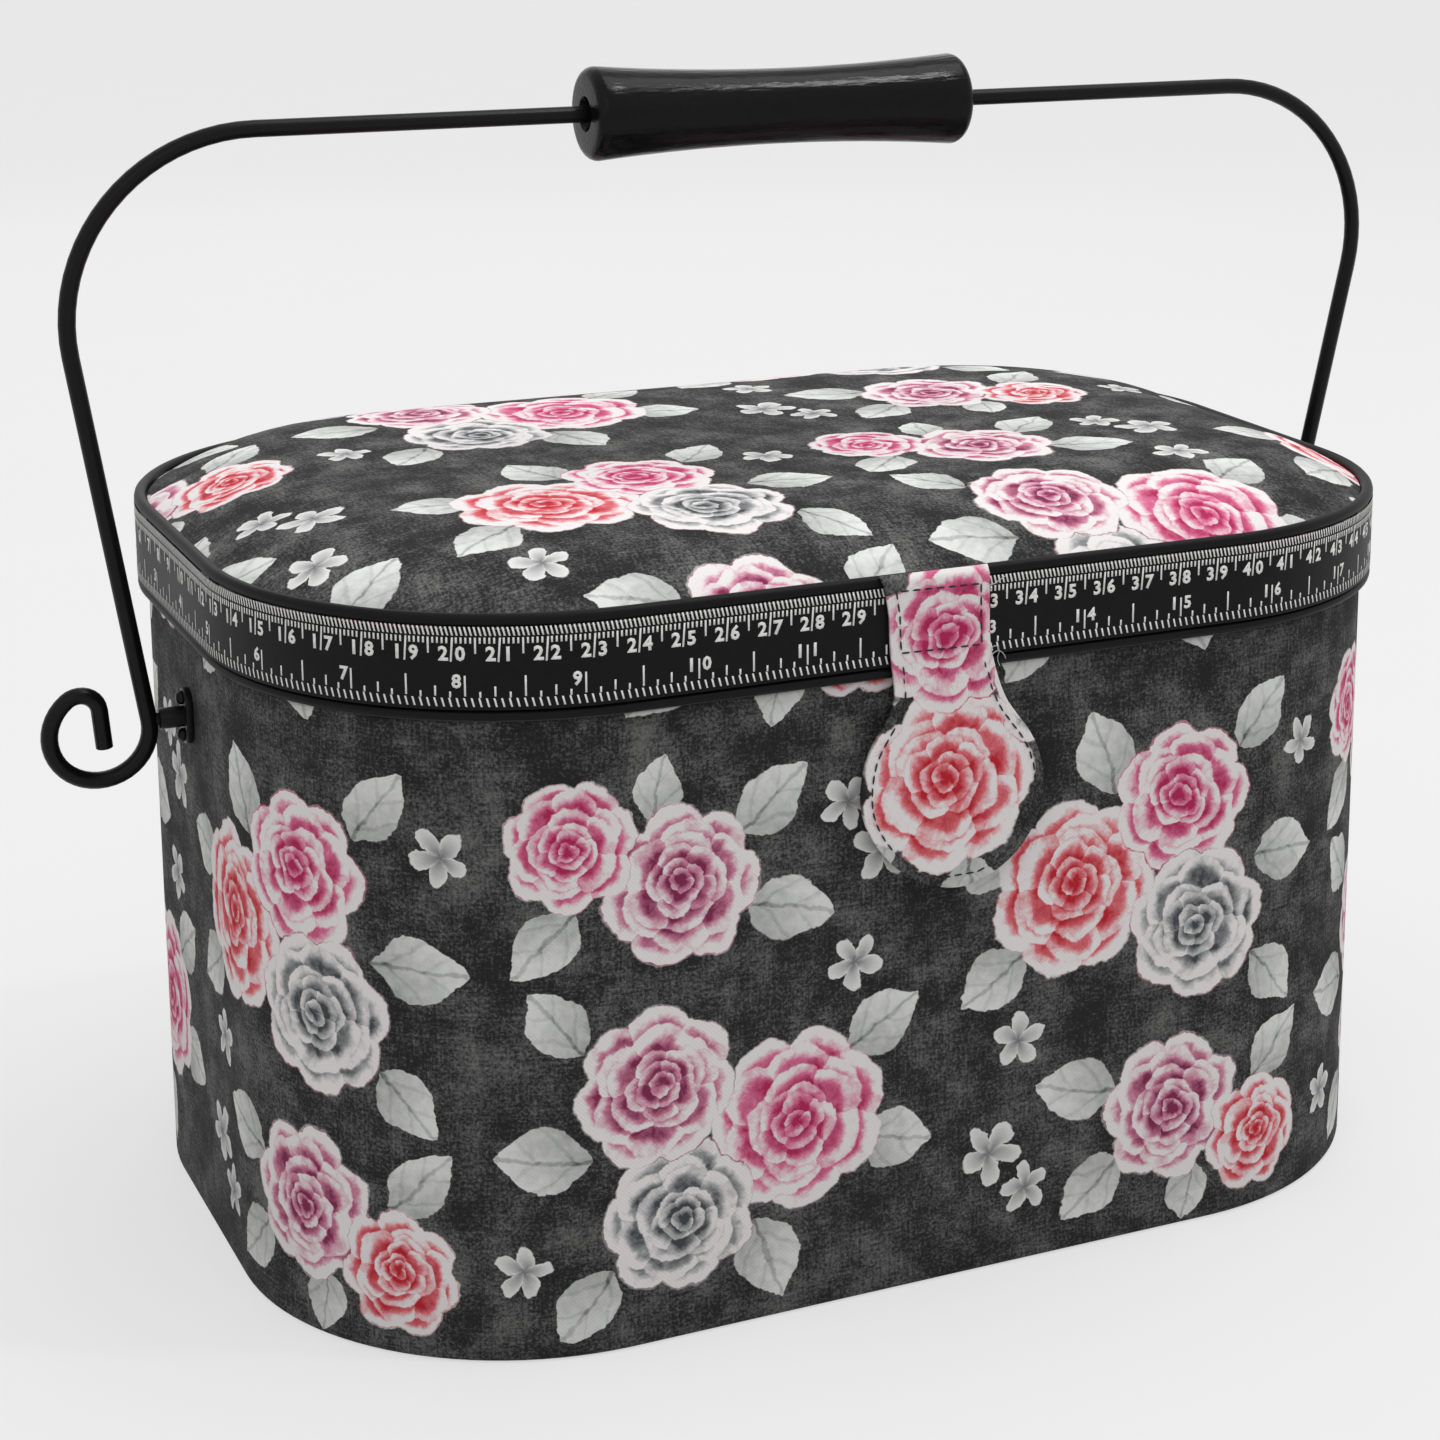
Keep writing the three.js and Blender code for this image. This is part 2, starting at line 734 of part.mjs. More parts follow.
const endPieces = {
  bracket: [bracket(), 'steel'],
  bracket_backing: [backing(), 'steel'],
  bracket_screw_low: [bracketScrew(screwHeights[0]), 'steel'],
  bracket_screw_high: [bracketScrew(screwHeights[1]), 'steel'],
};
for (const [name, [geometry, look]] of Object.entries(endPieces)) {
  add(box, `${name}_right`, geometry, look);
  add(box, `${name}_left`, otherEnd(geometry), look);
}

// Wire bail: straight bar, round shoulders, leaning legs and a scroll below each pivot


// Half of the wire's centre line, from the middle of the bar to the end of the scroll.
function bailHalf() {
  const foot = new THREE.Vector2(legFoot, 0);
  const shoulder = new THREE.Vector2(legFoot - barSetback, bailRise - shoulderRadius);
  const reach = foot.clone().sub(shoulder);
  const turn = Math.acos(shoulderRadius / reach.length());
  const lean = Math.atan2(reach.y, reach.x) + turn;
  const points = [new THREE.Vector2(0, bailRise)];
  const arc = (centre, radius, from, to, steps) => {
    for (let step = 0; step <= steps; step += 1) {
      const angle = from + (to - from) * step / steps;
      const away = new THREE.Vector2(Math.cos(angle), Math.sin(angle));
      points.push(centre.clone().addScaledVector(away, radius));
    }
  };
  arc(shoulder, shoulderRadius, Math.PI / 2, lean, cornerSteps);
  const down = new THREE.Vector2(Math.sin(lean), -Math.cos(lean));
  points.push(foot.clone());
  const outward = new THREE.Vector2(-down.y, down.x);
  const scroll = foot.clone().addScaledVector(outward, scrollRadius);
  const from = Math.atan2(-outward.y, -outward.x);
  const end = from + THREE.MathUtils.degToRad(scrollTurnDeg);
  arc(scroll, scrollRadius, from, end, 2 * cornerSteps);
  const inward = new THREE.Vector2(-Math.cos(end), -Math.sin(end));
  const curl = scroll.clone().addScaledVector(inward, curlRadius - scrollRadius);
  const stop = end + THREE.MathUtils.degToRad(curlTurnDeg);
  arc(curl, curlRadius, end, stop, cornerSteps / 2);
  const last = points[points.length - 1];
  const tail = new THREE.Vector2(-Math.sin(stop), Math.cos(stop));
  points.push(last.clone().addScaledVector(tail, scrollTail));
  return points.filter((p, i) => !i || p.distanceTo(points[i - 1]) > layerGap);
}

// Round wire along points drawn in x and z.
function wire(points, radius) {
  const rings = points.map((point, i) => {
    const before = points[Math.max(i - 1, 0)];
    const after = points[Math.min(i + 1, points.length - 1)];
    const into = point.clone().sub(before).normalize();
    const out = after.clone().sub(point).normalize();
    const along = into.clone().add(out).normalize();
    const widen = radius / Math.max(along.dot(out.lengthSq() ? out : into), 0.5);
    const ring = [];
    for (let side = 0; side < wireSides; side += 1) {
      const angle = 2 * Math.PI * side / wireSides;
      const across = widen * Math.cos(angle);
      ring.push(new THREE.Vector3(
        point.x + along.y * across, radius * Math.sin(angle), point.y - along.x * across,
      ));
    }
    return ring;
  });
  return loft(rings);
}

function bail() {
  const right = bailHalf();
  const left = right.slice(1).reverse().map((p) => new THREE.Vector2(-p.x, p.y));
  const pinEnd = boreEnd + pivotPinEndGap;
  return join([
    wire([...left, ...right], wireRadius),
    rod(0, 0, pivotPinRadius, pinEnd, legFoot),
    rod(0, 0, pivotPinRadius, -legFoot, -pinEnd),
  ]);
}

add(handle, 'bail_wire', bail(), 'wire');

// Turned grip, bored for the wire, waisted and with rounded ends

function grip() {
  const half = gripLength / 2;
  const bore = wireRadius + runningClearance;
  const outside = [];
  const steps = cornerSteps;
  for (let step = 0; step <= steps; step += 1) {
    const along = -half + gripEdge + (gripLength - 2 * gripEdge) * step / steps;
    const share = (along / (half - gripEdge)) ** 2;
    outside.push([gripWaistRadius + (gripEndRadius - gripWaistRadius) * share, along]);
  }
  const edge = (sign) => [Math.PI / 6, Math.PI / 3, Math.PI / 2].map((angle) => [
    gripEndRadius - gripEdge * (1 - Math.cos(angle)), sign * (half - gripEdge + gripEdge * Math.sin(angle)),
  ]);
  const mouth = (sign) => [
    [gripMouthRadius, sign * half], [gripMouthRadius - gripMouthDepth / 2, sign * (half - gripMouthDepth)],
    [bore, sign * (half - gripMouthDepth)],
  ];
  const profile = [
    ...mouth(-1).reverse(), ...edge(-1).reverse(), ...outside, ...edge(1), ...mouth(1),
  ];
  const points = [...profile, profile[0]].map(([r, x]) => new THREE.Vector2(r, x));
  return new THREE.LatheGeometry(points, pinSides).rotateZ(-Math.PI / 2).translate(0, 0, bailRise);
}

add(handle, 'grip', grip(), 'grip');

export default sewingBox;
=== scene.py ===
import math

import bmesh
import bpy
from mathutils import Matrix, Vector, noise


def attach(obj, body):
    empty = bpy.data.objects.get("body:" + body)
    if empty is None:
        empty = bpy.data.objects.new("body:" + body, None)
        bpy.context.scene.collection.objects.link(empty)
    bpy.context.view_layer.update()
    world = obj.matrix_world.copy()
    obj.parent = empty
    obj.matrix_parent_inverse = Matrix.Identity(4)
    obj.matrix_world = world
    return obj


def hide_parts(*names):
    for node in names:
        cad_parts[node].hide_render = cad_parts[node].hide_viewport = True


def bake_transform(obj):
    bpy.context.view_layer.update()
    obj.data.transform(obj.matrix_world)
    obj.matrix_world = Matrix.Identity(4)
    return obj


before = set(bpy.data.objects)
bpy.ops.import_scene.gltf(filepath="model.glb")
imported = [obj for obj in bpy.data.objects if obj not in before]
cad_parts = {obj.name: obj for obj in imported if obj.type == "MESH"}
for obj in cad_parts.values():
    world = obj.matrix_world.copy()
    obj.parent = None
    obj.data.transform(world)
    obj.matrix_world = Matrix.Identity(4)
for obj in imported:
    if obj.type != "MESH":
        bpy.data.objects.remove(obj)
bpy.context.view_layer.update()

mm = 0.001

# Camera: it stands in front of the box, to its left and above it, and looks a little
# down on the lid.
eye = bpy.data.cameras.new("eye")
eye.lens, eye.sensor_width = 77.203, 36
eye.shift_x, eye.shift_y = -0.1389, -0.1667
camera = bpy.data.objects.new("camera", eye)
camera.matrix_world = (
    Matrix.Translation(Vector((-299.05, -693.41, 344.73)) * mm)
    @ Matrix.Rotation(math.radians(-26.362), 4, "Z")
    @ Matrix.Rotation(math.radians(90 - 12.950), 4, "X")
    @ Matrix.Rotation(math.radians(0.4516), 4, "Z"))
bpy.context.collection.objects.link(camera)
bpy.context.scene.camera = camera


# Studio: soft lamps, one overhead and one on each of the four sides, a small one whose glint
# runs along the grip, and below a plain pale floor and a sky that is brightest overhead.
def lamp(name, watts, side, place, target):
    """A square soft lamp that faces the target."""
    light = bpy.data.lights.new(name, "AREA")
    light.energy, light.size = watts, side
    made = bpy.data.objects.new(name, light)
    place, target = Vector(place), Vector(target)
    made.location = place
    made.rotation_euler = (target - place).to_track_quat("-Z", "Y").to_euler()
    bpy.context.collection.objects.link(made)


lamp("lamp_above", 5.8, 0.8, (0.5, 0.0, 1.75), (0, 0, 0.1))
lamp("lamp_glint", 4, 0.08, (0.6, -0.5, 1.7), (0, 0, 0.2))
lamp("lamp_front", 0.6, 0.5, (-0.5, -1.2, 0.9), (0, 0, 0.15))
lamp("lamp_left", 1.1, 1.2, (-1.5, -0.9, 0.8), (0, 0, 0.1))
lamp("lamp_right", 0.5, 1.2, (1.4, -1.1, 0.7), (0, 0, 0.1))
lamp("lamp_behind", 2, 1.2, (0.4, 1.5, 0.9), (0, 0, 0.1))


# The printed cloth of the wall: one strip, cut flat, glued round the wall board and turned
# in at the rim and under the base, its ends meeting at the back.
class Flow:
    """A value of a material's nodes; arithmetic on it adds the nodes that work it out."""

    def __init__(self, tree, socket):
        self.tree, self.socket = tree, socket

    def node(self, kind, settings=(), inputs=(), out=0):
        """A node of that type: its settings first, then the values or links of its sockets."""
        made = self.tree.nodes.new("ShaderNode" + kind)
        for name, value in dict(settings).items():
            setattr(made, name, value)
        for name, value in dict(inputs).items():
            socket = made.inputs[name]
            if isinstance(value, Flow):
                self.tree.links.new(value.socket, socket)
            else:
                socket.default_value = (*value, 1) if socket.type == "RGBA" else value
        return Flow(self.tree, made.outputs[out])

    def maths(self, operation, *others):
        """The outcome of one Math node on this number and others."""
        return self.node("Math", {"operation": operation}, dict(enumerate((self, *others))))

    def __add__(self, other):
        return self.maths("ADD", other)

    def __sub__(self, other):
        return self.maths("SUBTRACT", other)

    def __rsub__(self, other):
        return (self * -1).maths("ADD", other)

    def __mul__(self, other):
        return self.maths("MULTIPLY", other)

    def __truediv__(self, other):
        return self.maths("DIVIDE", other)

    def __rtruediv__(self, other):
        return self.maths("POWER", -1.0).maths("MULTIPLY", other)

    __radd__, __rmul__ = __add__, __mul__

    def step(self, low, high):
        """0 below low, 1 above high, and smooth between them."""
        return self.node("MapRange", {"interpolation_type": "SMOOTHSTEP"},
                         {"Value": self, "From Min": low, "From Max": high})

    def mix(self, first, second):
        """Colour from first to second as this value goes from 0 to 1."""
        return self.node("Mix", {"data_type": "RGBA"}, {0: self, 6: first, 7: second}, 2)

    def over(self, under, share):
        """This number laid over another one by its share."""
        return under + (self - under) * share

    def parts(self):
        """The numbers of a vector."""
        return [self.node("SeparateXYZ", {}, {0: self}, i) for i in range(3)]

    def ramp(self, deep, middle, pale):
        """Colour from deep over middle to pale as this value goes from 0 over 0.5 to 1."""
        return (self * 2 - 1).mix((self * 2).mix(deep, middle), pale)

    def vector(self, operation, other=(0, 0, 0)):
        """The outcome of one Vector Math node on this vector and another."""
        return self.node("VectorMath", {"operation": operation}, {0: self, 1: other})

    def noise(self, scale, detail=2.0, roughness=0.5, out=0):
        """Noise at this place: a number 0..1 or, as output 1, a colour."""
        return self.node("TexNoise", {}, {
            "Vector": self, "Scale": scale, "Detail": detail, "Roughness": roughness}, out)


def finish_of(name, constants, is_cloth=False):
    """A new material: returns the place in it, in millimetres, and wire_up, which completes it.

    The place lies on the flat cloth for a cloth, and in the solid for all else."""
    made = bpy.data.materials.new(name)
    made.use_nodes = True
    shader = made.node_tree.nodes["Principled BSDF"]
    for socket, value in constants.items():
        shader.inputs[socket].default_value = value
    metres = Flow(made.node_tree, None).node("TexCoord", {}, {}, 2 if is_cloth else 3)

    def wire_up(inputs, height=None, depth=None):
        """Links what varies; a height, 1 being depth millimetres, goes through a bump."""
        if height is not None:
            inputs["Normal"] = height.node("Bump", {}, {
                "Strength": 1.0, "Distance": depth * mm, "Height": height})
        for socket, flow in inputs.items():
            made.node_tree.links.new(flow.socket, shader.inputs[socket])
        return made

    return metres.vector("MULTIPLY", (1 / mm, 1 / mm, 1 / mm)), wire_up


def weave(flat, pitch):
    """Height 0..1 of a plain weave whose threads lie `pitch` millimetres apart."""
    along, across, _ = flat.parts()
    turn = math.pi / pitch
    return (along * turn).maths("SINE") * (across * turn).maths("SINE") * 0.5 + 0.5


# Print: fields in millimetres, every other one turned round. A flower is x, y, radius, turn and
# dye (0 coral, 1 pink, 2 grey, 3 rose), a leaf x, y, half length, half width and turn, a blossom
# x, y, radius and turn, and a ring of petals their count, its size, turn and shift.
field = (108.12, 140.0, 1)  # eight of them go round the wall
flowers = [(-19, 22, 22, 20, 0), (10, 40, 18.5, 75, 1), (15, 8, 19, 140, 2),
           (9, -38, 19, 200, 3), (34, -50, 15, 10, 0)]
leaves = [(-42, 31, 11, 7.5, 165), (-39, 3, 11.5, 7.5, 215), (-11, 53, 12.5, 8, 110),
          (31, 57, 11.5, 7, 50), (40, 22, 12.5, 8, -5), (37, -9, 11, 7, -50),
          (-16, -29, 12.5, 8, 165), (-12, -54, 12, 7.5, 222), (14, -60, 9, 6, 262),
          (39, -29, 11.5, 7, 45)]
blossoms = [(-40, -40, 8, 20), (-31, -51, 6.5, 60), (46, 48, 6.5, 10), (-33, -13, 7, 50)]
rings = [(7, 1.0, 0.0, 0, 0), (6, 0.8, 0.4, 0.04, -0.03), (5, 0.62, 0.8, -0.03, 0.05),
         (5, 0.45, 0.3, 0.05, 0.06), (4, 0.3, 0.6, 0.01, 0.03), (3, 0.16, 0.1, 0.03, 0.05)]
dyes = [((0.50, 0.016, 0.030), (0.74, 0.17, 0.20)), ((0.44, 0.02, 0.10), (0.71, 0.18, 0.33)),
        ((0.06, 0.063, 0.07), (0.36, 0.37, 0.37)), ((0.22, 0.025, 0.08), (0.62, 0.22, 0.34))]


def petals(x, y, count, turn, notch):
    """Share 0..1 across a petal at a point, and the point's depth, 1 at the petals' edge."""
    share = (y.maths("ARCTAN2", x) * (count / math.tau) + turn).maths("FRACT")
    across = share - 0.5
    return share, (x * x + y * y).maths("SQRT") / (1 - across * across * notch)


def rose(x, y):
    """Tone 0 deep to 1 pale of the petals of a full flower, ring within ring."""
    tone = x * 0
    for (count, size, turn, right, up), (_, inner, *_) in zip(rings, rings[1:] + [(0, 0.03)]):
        share, depth = petals((x - right) / size, (y - up) / size, count, turn, 0.55)
        petal = depth.step(inner / size * 0.95, 0.93) * 0.85 + share * 0.42 - 0.16
        tone = petal.over(tone, depth.step(1.03, 0.98))
    return tone


def gathered(cell, motifs, cover_of):
    """The place within the topmost motif at each point, and how far motifs cover it."""
    place = cover = None
    for x, y, along, across, turn, mark in motifs:
        seen = cell.node("Mapping", {"vector_type": "TEXTURE"}, {
            "Vector": cell, "Location": (x, y, -mark), "Rotation": (0, 0, math.radians(turn)),
            "Scale": (along, across, 1)})
        inside = cover_of(*seen.parts()[:2])
        place = seen if place is None else inside.node(
            "Mix", {"data_type": "VECTOR"}, {0: inside, 4: place, 5: seen}, 1)
        cover = inside if cover is None else cover.maths("MAXIMUM", inside)
    return place.parts(), cover


def leaf_cover(a, b):
    """1 inside a leaf, which runs from a = -1 to 1 and is widest near its stalk, else 0."""
    inside = (1 - a * a * (1.35 - a * 0.35) - b.maths("ABSOLUTE")).step(-0.02, 0.04)
    return inside * (1 - a.maths("ABSOLUTE")).step(0, 0.02)


def leaf_colour(a, b, grain):
    """Grey of a leaf: dark along its midrib and veins, paler to its tip."""
    side = b.maths("ABSOLUTE")
    veins = (a * 9 - side * 7).maths("SINE").step(0.75, 1.0)
    tone = 0.36 + a * 0.32 + grain * 0.75 + b * 0.14 - side.step(0.09, 0.03) * 0.35 - veins * 0.16
    return tone.ramp((0.11, 0.115, 0.115), (0.46, 0.47, 0.455), (0.76, 0.77, 0.75))


def dyed(dye, which):
    """The deep (0) or middle (1) colour of a flower's dye."""
    colour = dyes[0][which]
    for i in (1, 2, 3):
        colour = dye.step(i - 0.6, i - 0.4).mix(colour, dyes[i][which])
    return colour


def floral(flat):
    """Colour of the print: flowers over blossoms over leaves on a mottled charcoal ground."""
    waves = flat.noise(0.11, 4, 0.62, 1).vector("SUBTRACT", (0.5, 0.5, 0.5))
    fields = waves.vector("MULTIPLY", (5, 5, 0)).vector("ADD", flat).vector("DIVIDE", field)
    column, row, _ = fields.vector("FLOOR").parts()
    odd = (column + row).maths("FLOORED_MODULO", 2)
    cell = fields.vector("FRACTION").vector("SUBTRACT", (0.5, 0.5, 0)).vector("MULTIPLY", field)
    cell = cell.node("VectorMath", {"operation": "SCALE"}, {0: cell, "Scale": 1 - odd * 2})
    cell = cell.vector("MULTIPLY", (1, 1, 0))
    grain = cell.noise(0.35, 4, 0.65)

    clouds, specks = flat.noise(0.06, 6, 0.7), flat.noise(1.3, 3, 0.8)
    warp, weft = (flat.vector("MULTIPLY", run).noise(1.0, 3, 0.6)
                  for run in ((0.12, 1.6, 1), (1.6, 0.12, 1)))
    mottle = clouds * 0.4 + (warp + weft) * 0.11 + specks * 0.38
    colour = mottle.step(0.45, 0.62).mix((0.016, 0.016, 0.017), (0.170, 0.169, 0.166))
    (a, b, _), cover = gathered(cell, [(*leaf, 0) for leaf in leaves], leaf_cover)
    colour = cover.mix(colour, leaf_colour(a, b, grain))

    (a, b, _), cover = gathered(
        cell, [(x, y, size, size, turn, 0) for x, y, size, turn in blossoms],
        lambda a, b: petals(a, b, 5, 0, 2.4)[1].step(1.03, 0.97))
    share, depth = petals(a, b, 5, 0, 2.4)
    tone = depth * 0.9 + share * 0.2 - 0.05 + grain * 0.2
    colour = cover.mix(colour, tone.ramp((0.06, 0.06, 0.065), (0.45, 0.45, 0.45),
                                         (0.76, 0.76, 0.75)))

    (a, b, dye), cover = gathered(
        cell, [(x, y, size, size, turn, dye) for x, y, size, turn, dye in flowers],
        lambda a, b: petals(a, b, 7, 0, 0.55)[1].step(1.02, 0.98))
    dye = (dye + odd * 0.999).maths("FLOORED_MODULO", 4)  # a turned field has the next dyes
    far = (a * a + b * b).maths("SQRT")
    wash = cell.noise(0.16, 5, 0.7) - 0.5
    tone = rose(a, b) * 0.85 + far * 0.6 - 0.17 + wash * 2.0
    return cover.mix(colour, tone.ramp(dyed(dye, 0), dyed(dye, 1), (0.83, 0.785, 0.79)))


flat, wire_up = finish_of("printed_cloth", {"Roughness": 0.85, "Specular IOR Level": 0.2}, True)
print_cloth = wire_up({"Base Color": floral(flat)}, weave(flat, 0.5), 0.05)

wall = (290 * mm, 203 * mm, 70.5 * mm)  # an outline: its length, width and corner radius


def around(outline, s, out):
    """Point x, y that lies `out` outside an outline, at length s along it from its front middle."""
    length, width, corner = outline
    straight, side = length / 2 - corner, width - 2 * corner
    arc = corner * math.pi / 2
    hand, s = math.copysign(1, s), abs(s)
    if s <= straight:
        x, y = s, -width / 2 - out
    elif s <= straight + arc:
        turn = (s - straight) / corner
        x = straight + (corner + out) * math.sin(turn)
        y = -side / 2 - (corner + out) * math.cos(turn)
    elif s <= straight + arc + side:
        x, y = length / 2 + out, s - straight - arc - side / 2
    elif s <= straight + 2 * arc + side:
        turn = (s - straight - arc - side) / corner
        x = straight + (corner + out) * math.cos(turn)
        y = side / 2 + (corner + out) * math.sin(turn)
    else:
        x, y = 2 * straight + 2 * arc + side - s, width / 2 + out
    return hand * x, y


def girth_of(outline):
    """The length all round an outline."""
    length, width, corner = outline
    return 2 * (length + width) - (8 - 2 * math.pi) * corner


def wrapped(outline, profile):
    """A flat strip bent round the outline; the profile's (out, z) points run up its width."""
    girth, pitch = girth_of(outline), 4 * mm
    widths = [0.0]
    for low, high in zip(profile, profile[1:]):
        widths.append(widths[-1] + math.dist(low, high))
    mesh = bmesh.new()
    flat = mesh.loops.layers.uv.new("flat")
    bmesh.ops.create_grid(mesh, x_segments=2 * round(girth / pitch / 2),
                          y_segments=len(profile) - 1, size=0.5)
    rows = {vert: round((vert.co.y + 0.5) * (len(profile) - 1)) for vert in mesh.verts}
    for face in mesh.faces:
        for loop in face.loops:
            loop[flat].uv = (loop.vert.co.x * girth, widths[rows[loop.vert]])
    for vert in mesh.verts:
        out, z = profile[rows[vert]]
        vert.co = (*around(outline, vert.co.x * girth, out), z)
    bmesh.ops.remove_doubles(mesh, verts=mesh.verts, dist=0.001 * mm)
    return mesh


def piece(name, mesh, material, body, nodes=(), thickness=0.0):
    """The mesh as an object that rides on its body and may be given a thickness inwards."""
    data = bpy.data.meshes.new(name)
    mesh.to_mesh(data)
    mesh.free()
    data.shade_smooth()
    data.set_sharp_from_angle(angle=math.radians(40))
    data.materials.append(material)
    made = bpy.data.objects.new(name, data)
    bpy.context.collection.objects.link(made)
    if thickness:
        shell = made.modifiers.new("thickness", "SOLIDIFY")
        shell.thickness, shell.offset = thickness, -1
    if body:
        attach(made, body)
    if nodes:
        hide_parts(*nodes)
    return made


def turned_edge(radius, out, z, start, end, steps=4):
    """Points of a rounded fold in a profile, angles in degrees from outwards."""
    angles = [math.radians(start + (end - start) * i / steps) for i in range(steps + 1)]
    return [(out + radius * math.cos(a), z + radius * math.sin(a)) for a in angles]


wall_foot, wall_rim, wall_roll = 0.2 * mm, 148.85 * mm, 0.95 * mm
wall_profile = (
    turned_edge(wall_roll, -wall_roll, wall_foot + wall_roll, -90, 0)
    + [(0, z * mm) for z in range(8, 148, 7)]
    + turned_edge(wall_roll, -wall_roll, wall_rim - wall_roll, 0, 90)
    + [(-3 * mm, wall_rim + 0.05 * mm), (-4.9 * mm, wall_rim)])
wall_cover = piece("wall_cover_cloth", wrapped(wall, wall_profile), print_cloth,
                   "box", ["wall_cover"], 0.6 * mm)


# Lid cover: the same cloth drawn over a crowned pad of wadding, flat below where it is
# glued to the lid board.
def rounded(outline, x, y, inset):
    """The place, on the outline drawn in by inset, of the point x, y of a square from -1 to 1."""
    length, width, corner = outline
    half_x, half_y = length / 2 - inset, width / 2 - inset
    corner = max(corner - inset, 0)
    ring = max(abs(x), abs(y)) or 1
    x, y = x / ring * half_x, y / ring * half_y
    over = Vector((abs(x) - half_x + corner, abs(y) - half_y + corner))
    if min(over) > 0:
        over = over.normalized() * corner
        x = math.copysign(half_x - corner + over.x, x)
        y = math.copysign(half_y - corner + over.y, y)
    return x, y


def panel(outline, height, count=64, place=(0, 0)):
    """A panel cut to a rounded outline; height(inset, x, y) gives each point's z."""
    mesh = bmesh.new()
    flat = mesh.loops.layers.uv.new("flat")
    bmesh.ops.create_grid(mesh, x_segments=count, y_segments=count, size=1)
    for vert in mesh.verts:
        x, y, _ = vert.co
        inset = (1 - max(abs(x), abs(y)) ** 0.8) * outline[1] / 2
        x, y = rounded(outline, x, y, inset)
        vert.co = (x + place[0], y + place[1], height(inset, x, y))
    for face in mesh.faces:
        for loop in face.loops:
            loop[flat].uv = loop.vert.co.xy
    return mesh


def close_below(mesh, z):
    """Turns a panel into a closed pad with a flat underside."""
    rim = [edge for edge in mesh.edges if edge.is_boundary]
    added = bmesh.ops.extrude_edge_only(mesh, edges=rim)["geom"]
    for vert in added:
        if isinstance(vert, bmesh.types.BMVert):
            vert.co.z = z
    bmesh.ops.contextual_create(mesh, geom=[e for e in added if isinstance(e, bmesh.types.BMEdge)])
    bmesh.ops.recalc_face_normals(mesh, faces=mesh.faces)


def drawn_in(outline, inset):
    """An outline drawn in on all sides by an inset in millimetres."""
    return tuple(size - inset * mm * times for size, times in zip(outline, (2, 2, 1)))


band = (295 * mm, 208 * mm, 73 * mm)
crown_edge, crown_rise, crown_run, crown_round = 171.0 * mm, 11.5 * mm, 60 * mm, 3.4
ripple_rise, ripple_length, ripple_fade = 0.25 * mm, 35 * mm, 20 * mm


def crown(inset, x, y):
    """Height of the pad: steep at its edge, level in the middle, with faint ripples."""
    share = 1 - min(inset / crown_run, 1)
    ripple = noise.noise(Vector((x, y, 0)) / ripple_length) * min(inset / ripple_fade, 1)
    return crown_edge + crown_rise * (1 - share ** crown_round) + ripple_rise * (ripple - 0.5)


lid_mesh = panel(drawn_in(band, 3.2), crown)
close_below(lid_mesh, 169.6 * mm)
lid_cover = piece("lid_cover_padded", lid_mesh, print_cloth, "lid",
                  ["lid_cover", "lid_padding"])

# Side of the lid: a strip of the printed cloth under a black woven measuring tape, and a
# black satin cord sewn along each edge.
flat, wire_up = finish_of("black_satin", {"Roughness": 0.45, "Specular IOR Level": 0.12}, True)
shade = flat.noise(0.3, 3).mix((0.003, 0.003, 0.004), (0.007, 0.007, 0.008))
black_satin = wire_up({"Base Color": shade}, weave(flat, 0.35), 0.03)

side_profile = [(-1.2 * mm, z * mm) for z in (151.6, 156, 160, 164, 169.2)]
side_cloth = piece("lid_side_strip", wrapped(band, side_profile), print_cloth,
                   "lid", ["lid_side_cloth"], 0.8 * mm)

tape_low, tape_high, tape_roll = 151.6 * mm, 169.25 * mm, 0.4 * mm
tape_profile = (
    turned_edge(tape_roll, -tape_roll, tape_low + tape_roll, -90, 0, 3)
    + [(0, z * mm) for z in (154, 158, 162, 166)]
    + turned_edge(tape_roll, -tape_roll, tape_high - tape_roll, 0, 90, 3))
tape = piece("ruler_tape_band", wrapped(band, tape_profile), black_satin,
             "lid", ["ruler_tape"], 0.5 * mm)


def cord_round(outline, z, radius):
    """A round cord laid along the inside of an outline."""
    turns = [i * math.tau / 12 for i in range(13)]
    return wrapped(outline, [(-radius + radius * math.cos(a), z + radius * math.sin(a))
                             for a in turns])


for name, z, radius in (("piping_upper", 171.0, 1.5), ("piping_lower", 150.25, 1.1)):
    piece(name + "_cord", cord_round(band, z * mm, radius * mm), black_satin,
          "lid", [name])

# White marks of the tape: centimetres above, inches below, woven in. The tape meets itself
# behind the tab, where its numbers jump by seven millimetres.
solid, wire_up = finish_of("white_yarn", {"Roughness": 0.7})
shade = solid.noise(1.5, 2).mix((0.72, 0.72, 0.70), (0.95, 0.95, 0.93))
white_yarn = wire_up({"Base Color": shade})


def mesh_of(shape):
    """The mesh that a curve or a text makes."""
    holder = bpy.data.objects.new("holder", shape)
    bpy.context.collection.objects.link(holder)
    made = bpy.data.meshes.new_from_object(holder)
    bpy.data.objects.remove(holder)
    return made


digits = {}
for digit in "0123456789":
    text = bpy.data.curves.new("digit", "FONT")
    text.body, text.resolution_u, text.offset = digit, 2, 0.035
    text.align_x, text.align_y = "CENTER", "CENTER"
    digits[digit] = mesh_of(text)
marks = bmesh.new()
mark_width, digit_pitch, digit_gap, digit_scale = 0.42, 2.4, 0.6, 1.38


